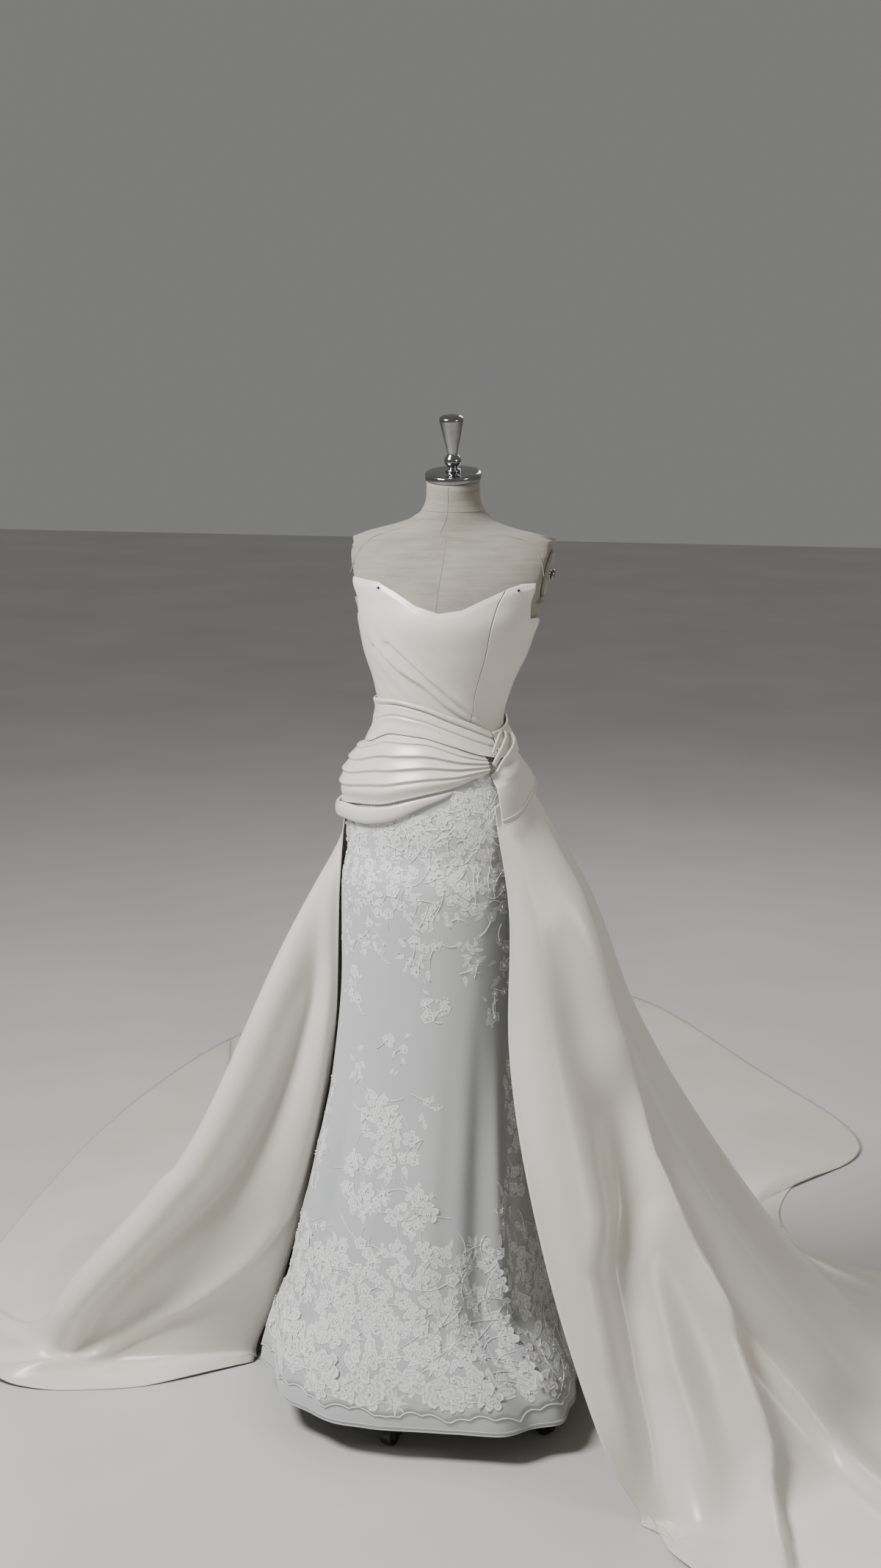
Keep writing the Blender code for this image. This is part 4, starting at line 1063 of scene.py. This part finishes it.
for a in range(-10, 180, 16):  # the back carries the same edging, thinner
    BOUQUETS += [(a, 0.15, 9, 0.045, 6, 12, 0.020), (a, 0.28, 9, 0.05, 3, 9, 0.016),
                 (a, 1.03, 10, 0.05, 6, 14, 0.013), (a, 0.93, 9, 0.04, 3, 9, 0.012)]
flowers, leaves, stems, beads = [], [], [], []
taken = np.zeros((0, 3))
for ang, z, wide, high, n_flower, n_leaf, size in BOUQUETS:
    hearts = []
    for _ in range(n_flower * 6):
        if len(hearts) == n_flower:
            break
        q, r = rng.uniform(0, 2 * math.pi), math.sqrt(rng.uniform())
        a, h = ang + wide * r * math.cos(q), z + high * r * math.sin(q)
        s = size * rng.uniform(0.65, 1.25)
        if h - s < lace_end(a) - 0.002:
            continue
        p = on_sheath(a, h)
        if len(taken) and np.linalg.norm(taken - p, axis=1).min() < s * 1.5:
            continue
        taken = np.vstack([taken, p])
        hearts.append((a, h))
        flowers.append((a, h, s, rng.uniform(0, 360), rng.uniform()))
    for _ in range(n_leaf):
        q, r = rng.uniform(0, 2 * math.pi), math.sqrt(rng.uniform(0.05, 1))
        a, h = ang + wide * 1.1 * r * math.cos(q), z + high * 1.1 * r * math.sin(q)
        if h - size < lace_end(a):
            continue
        heading = math.degrees(math.atan2(math.sin(q) * high, math.cos(q) * wide * 0.003))
        leaves.append((a, h, size * rng.uniform(0.5, 0.95), heading + rng.uniform(-50, 50)))
        if rng.uniform() < 0.5:
            spot = a + rng.uniform(-2, 2), h + rng.uniform(-0.008, 0.008)
            beads.append((*spot, rng.uniform(0.0007, 0.0012), 0))
    for a0, h0 in hearts:
        q = rng.uniform(0, 2 * math.pi)
        length, bend = size * rng.uniform(2.0, 4.0), rng.uniform(-1.5, 1.5)
        turn_q = q + bend * np.linspace(0, 1, 7)
        aa = a0 + np.cumsum(np.cos(turn_q)) / 7 * length / M_PER_DEG
        hh = h0 + np.cumsum(np.sin(turn_q)) / 7 * length
        if (hh < lace_end(aa) + 0.002).any() or (hh > 1.16).any():
            continue
        stems.append((aa, hh))
print(len(flowers), "flowers", len(leaves), "leaves", len(stems), "stems")


# %% Sew the motifs on
def sewn(name, rows, shape, finish_used, lift):
    """Sets a shape on the lace at rows of (angle, z, size, turn in degrees)."""
    a, h, size, degrees = np.array([r[:4] for r in rows]).T
    n = sheath_normals(a, h)
    side = np.cross(np.array([0, 0, 1.0]), n)
    side /= np.linalg.norm(side, axis=1, keepdims=True)
    q = np.radians(degrees)[:, None]
    aims = aims_of(np.cos(q) * side + np.sin(q) * np.cross(n, side), n)
    return scattered(name, on_lace(a, h, lift), aims, size, shape, finish_used)


LACE_FACE = 0.0023
BIG_FLOWER = 0.0145
kinds = np.array([f[4] for f in flowers])
big = np.array([f[2] for f in flowers]) > BIG_FLOWER
picks = (("lace_roses", rose, big & (kinds < 0.75)), ("lace_daisies", daisy, kinds >= 0.75),
         ("lace_blossoms", blossom, ~big & (kinds < 0.75)))
pieces = [sewn(name, [f for f, k in zip(flowers, pick) if k], shape, MOTIF, LACE_FACE)
          for name, shape, pick in picks]
pieces.append(sewn("lace_leaves", leaves, leaf, MOTIF, LACE_FACE))
for f in flowers:
    for _ in range(3 if f[2] < 0.015 else 6):
        q = rng.uniform(0, 2 * math.pi)
        r = f[2] * rng.uniform(0.05, 0.3)
        spot = f[0] + r * math.cos(q) / M_PER_DEG, f[1] + r * math.sin(q)
        beads.append((*spot, rng.uniform(0.0008, 0.0014), 0))
pieces.append(sewn("lace_beads", beads, bead, BEAD, LACE_FACE + 0.0012))
lines = [on_lace(a, h, LACE_FACE + 0.0003) for a, h in stems]
pieces.append(cords("lace_stems", lines, 0.0007, THREAD, 5))
edge_a = np.arange(-180, 180.1, 0.75)
pieces.append(cords("lace_edge_cord", [on_lace(edge_a, lace_end(edge_a), 0.0018)], 0.0011, THREAD, 6))
for o in (rose, blossom, daisy, leaf, bead):
    bpy.data.objects.remove(o)
for o in (lace, *pieces):
    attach(o, "dress_and_form")
for o in (net, hem_binding):
    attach(o, "dress_and_form")

# %% [markdown]
# ## The overskirt and train
#
# The overskirt is open at the front: three wide satin panels hang from the
# hip and run out over the floor. The big lines come from one table of
# columns. Over them go the folds, each a line from hip to hem with its own
# width: a fold is round on the side that faces you and drops away sharply.

# %% Columns and surface
LEVELS = (0.95, 0.72, 0.40, 0.14)
# degrees on the form, z at the top and under the roll, (angle, distance out) at each level, then
# (x, y) where the column lands and (x, y) of its hem
TRAIN = (
    (46, 1.118, 1.083, (-60, .186), (-66, .229), (-66.5, .378), (-62.6, .519), (.290, -.478), (.313, -.500)),
    (56, 1.126, 1.088, (-50, .205), (-52, .268), (-50, .405), (-48, .555), (.40, -.500), (.395, -.640)),
    (64, 1.134, 1.095, (-38, .215), (-38, .275), (-34, .415), (-33, .580), (.54, -.42), (.60, -.840)),
    (72, 1.140, 1.103, (-27, .224), (-24, .300), (-20, .465), (-18, .660), (.70, -.28), (.93, -.760)),
    (82, 1.145, 1.116, (-14, .230), (-10, .307), (-6, .480), (-3, .672), (.79, -.06), (1.13, -.370)),
    (95, 1.200, 1.132, (0, .234), (4, .315), (9, .490), (13, .690), (.80, .14), (1.15, .060)),
    (110, 1.204, 1.132, (18, .230), (22, .315), (26, .495), (30, .710), (.76, .40), (1.02, .380)),
    (124, 1.205, 1.125, (38, .226), (40, .315), (43, .505), (44, .730), (.66, .58), (.735, .640)),
    (131, 1.205, 1.122, (46, .225), (48, .320), (49, .515), (49, .755), (.55, .66), (.75, .92)),
    (138, 1.205, 1.120, (54, .224), (55, .325), (54, .530), (54, .790), (.54, .86), (.965, 1.215)),
    (152, 1.205, 1.115, (70, .226), (69, .340), (67, .570), (66, .870), (.50, 1.05), (.800, 1.765)),
    (170, 1.205, 1.100, (85, .205), (84, .350), (83, .600), (83, .920), (.18, 1.20), (.500, 2.395)),
    (190, 1.160, 1.082, (100, .198), (100, .350), (100, .600), (101, .920), (-.14, 1.18), (-.05, 2.500)),
    (206, 1.155, 1.076, (116, .196), (117, .335), (118, .570), (119, .850), (-.46, .98), (-.535, 2.070)),
    (222, 1.150, 1.070, (132, .198), (134, .325), (136, .530), (137, .770), (-.66, .72), (-.770, 1.560)),
    (236, 1.145, 1.066, (147, .208), (150, .320), (152, .500), (153, .715), (-.76, .46), (-.900, .960)),
    (248, 1.142, 1.066, (160, .222), (164, .325), (166, .490), (167, .700), (-.80, .24), (-.970, .400)),
    (258, 1.138, 1.072, (171, .236), (175, .325), (175, .475), (174, .690), (-.74, .10), (-.860, .045)),
    (266, 1.134, 1.070, (178, .222), (178, .255), (175, .370), (172, .560), (-.60, .08), (-.610, -.004)),
    (274, 1.130, 1.068, (181, .198), (176, .206), (165.2, .262), (161.2, .339), (-.362, .118), (-.372, .100)),
)
V_AT = np.array([0, 0.05, 0.14, 0.26, 0.45, 0.62, 0.74, 0.87, 1.0])


def train_column(row):
    deg, z0, z1, *levels, land, hem = row
    pts = [on_form(deg, z0, 0.0104), on_form(deg, z1, 0.0135)]
    for z, (ang, r) in zip(LEVELS, levels):
        a = math.radians(ang)
        pts.append(turned_in(np.array([r * math.cos(a), r * math.sin(a), z])))
    mid = 0.5 * (np.array(land) + np.array(hem))
    feet = ((land, 0.035), (mid, 0.016), (hem, 0.004))
    return np.array(pts + [turned_in(np.array([*p, z])) for p, z in feet])


COLUMNS = np.array([train_column(r) for r in TRAIN])


def train_surface(u, v):
    rows = curve(u, np.linspace(0, 1, len(COLUMNS)), COLUMNS).swapaxes(0, 1)  # (9, u, 3)
    return hermite(v, V_AT, rows, np.gradient(rows, V_AT, axis=0)).swapaxes(0, 1)


# %% Folds
FOLDS = np.array([  # place along the hip, height
    (0.000, 0.000), (0.030, 0.010), (0.105, 0.004), (0.165, 0.006), (0.215, -0.012), (0.270, 0.026),
    (0.325, -0.020), (0.380, 0.024), (0.430, -0.024), (0.480, 0.026), (0.530, -0.022), (0.580, 0.024),
    (0.630, -0.022), (0.680, 0.024), (0.730, -0.020), (0.785, 0.022), (0.845, -0.020), (0.895, 0.022),
    (0.940, -0.018), (0.978, 0.010), (1.000, 0.000)])
# (v, u) along each fold, height, width before and after the line (m), where it fades in and out
LINES = (
    (((0.04, .235), (.075, .214), (.108, .183), (.158, .159), (.217, .151), (.267, .149), (.325, .144),
      (.375, .132), (.425, .127), (.492, .123), (.55, .115), (.608, .108), (.683, .103),
      (.733, .096), (1, .085)),
     0.034, 0.055, 0.011, (0.03, 0.20), (0.80, 1.0)),
    (((.26, .149), (.30, .135), (.35, .118), (.417, .094), (.467, .062), (.558, .043), (.633, .036),
      (.85, .015), (1, .005)), -0.042, 0.048, 0.040, (0.26, 0.38), (0.80, 1.0)),
    (((.467, .120), (.525, .119), (.575, .125), (.642, .132), (.717, .139), (1, .155)),
     0.022, 0.016, 0.060, (0.46, 0.56), (0.85, 1.0)),
    (((.16, .985), (.50, .988), (.55, .981), (.633, .964), (.725, .935), (.867, .909), (1, .90)),
     0.016, 0.036, 0.022, (0.15, 0.3), (0.8, 1.0)),
    (((.16, .966), (.27, .942), (.50, .940), (.62, .925), (1, .88)),
     -0.020, 0.026, 0.024, (0.14, 0.28), (0.7, 1.0)),
    (((.10, .897), (.45, .897), (.49, .877), (.70, .860), (1, .84)),
     0.020, 0.020, 0.050, (0.10, 0.25), (0.7, 1.0)),
    (((.10, 1.0), (1, 1.0)), -0.010, 0.014, 0.014, (0.04, 0.42), (0.8, 1.0)),
)


def fold_field(u, v, P):
    i = np.clip(np.searchsorted(FOLDS[:, 0], u, side="right") - 1, 0, len(FOLDS) - 2)
    t = (u - FOLDS[i, 0]) / (FOLDS[i + 1, 0] - FOLDS[i, 0])
    t = 0.5 - 0.5 * np.cos(math.pi * t)
    high = FOLDS[i, 1] * (1 - t) + FOLDS[i + 1, 1] * t
    grow = step(v, 0.05, 0.5) * (1 - 0.55 * step(v, 0.62, 0.85)) * (1 - 0.5 * step(v, 0.9, 1.0))
    H = high[:, None] * grow[None]
    S = np.concatenate([np.zeros((1, P.shape[1])), np.cumsum(np.linalg.norm(np.diff(P, axis=0), axis=2), 0)])
    for line, h, before, after, fade_in, fade_out in LINES:
        lv, lu = np.array(line).T
        at_u = np.interp(v, lv, lu)
        at = np.array([np.interp(x, u, S[:, j]) for j, x in enumerate(at_u)])
        d = S - at[None]
        shape = np.where(d < 0, np.exp(-(d / before) ** 2), np.exp(-(d / after) ** 2))
        H += h * shape * (step(v, *fade_in) * (1 - 0.7 * step(v, *fade_out)))[None]
    return H


def train_grid(u, v):
    P = train_surface(u, v)
    P = P + grid_normals(P, False) * fold_field(u, v, P)[..., None]
    P[..., 2] = np.maximum(P[..., 2], 0.0028)
    return P


FIRST_SEAM, LAST_SEAM, LAST_COLUMN = 160, 288, 416
PANELS = (("satin_overskirt_right", "overskirt_right", 0, FIRST_SEAM),
          ("satin_overskirt_back", "overskirt_back", FIRST_SEAM, LAST_SEAM),
          ("satin_overskirt_left", "overskirt_left", LAST_SEAM, LAST_COLUMN))
TRAIN_GRID = train_grid(np.linspace(0, 1, LAST_COLUMN + 1), np.linspace(0, 1, 190))
TRAIN_OUT = grid_normals(TRAIN_GRID, False)
TRAIN_OUT *= np.sign(TRAIN_OUT[..., 2].sum())
overskirt = []
for name, node, lo, hi in PANELS:
    part = TRAIN_GRID[lo:hi + 1].copy()
    for edge, inner, is_open in ((0, 1, lo == 0), (-1, -2, hi == LAST_COLUMN)):
        if not is_open:
            d = part[inner] - part[edge]
            part[edge] += d / np.linalg.norm(d, axis=1, keepdims=True) * 0.0004
    obj = sheet_mesh(name, part, 0.0015, SATIN, n=TRAIN_OUT[lo:hi + 1])
    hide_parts(node)
    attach(obj, "dress_and_form")
    overskirt.append(obj)

# %% [markdown]
# ## The stand
#
# Five moulded legs meet in a hub round the steel pole, and each ends in a
# bent fork with one wheel. Most of it is hidden under the hem. The measured
# legs and forks are right as they are, so they only get their finish.

# %% Stand finishes and wheels
for name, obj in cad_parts.items():
    if not obj.hide_render:
        use = CHROME if name == "stand_pole" else BLACK
        obj.data.materials.clear()
        obj.data.materials.append(use)
HALF_WHEEL = (  # radius, distance from the wheel's middle
    (0.0030, 0.0107), (0.0031, 0.0100), (0.0120, 0.0098), (0.0130, 0.0086), (0.0165, 0.0086), (0.0180, 0.0099),
    (0.0192, 0.0096), (0.0202, 0.0084), (0.0205, 0.0060))
WHEEL = [(r, -h) for r, h in HALF_WHEEL] + list(HALF_WHEEL[::-1])
for k, deg in enumerate((242, 314, 26, 98, 170), 1):
    a = math.radians(deg + 12)
    out, side = np.array([math.cos(a), math.sin(a), 0]), np.array([-math.sin(a), math.cos(a), 0])
    at = out * 0.232 + np.array([0, 0, 0.0205])
    wheel = turned(f"wheel_tread_{k}", WHEEL, BLACK, 48, side, at)
    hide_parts(f"caster_{k}_wheel")
    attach(wheel, f"wheel_{k}")

# %% [markdown]
# ## Cloth facts
#
# A table gives how large each sheet was cut before it was sewn, and each sheet's area now is printed against
# its cut's area.

CUTS = (  # piece, width and length of the cut's rectangle, area of the cut, how it is held, what carries it
    (bodice[0], (0.32, 0.30), 0.0700, "stretched", "form_cover"),
    (bodice[1], (0.14, 0.28), 0.0270, "stretched", "form_cover"),
    (bodice[2], (0.22, 0.21), 0.0340, "stretched", "form_cover"),
    (bodice[3], (0.22, 0.24), 0.0380, "stretched", "form_cover"),
    (sash, (0.80, 0.10), 0.0600, "gathered", "form_cover"),
    (drape, (0.65, 0.15), 0.0800, "gathered", "form_cover"),
    (flap, (0.14, 0.10), 0.0110, "draped", "form_cover"),
    (net, (2.10, 1.25), 1.6000, "hung", "form_cover"),
    (lace, (2.10, 1.20), 1.5500, "hung", "net_sheath"),
    (overskirt[0], (1.9, 1.9), 1.8, "draped", "form_cover"),
    (overskirt[1], (2.4, 3.0), 3.1, "draped", "form_cover"),
    (overskirt[2], (1.7, 1.8), 1.45, "draped", "form_cover"))
for piece, flat, area, held, under in CUTS:
    print(piece.name, "now / cut", round(piece["area"] / area, 2))
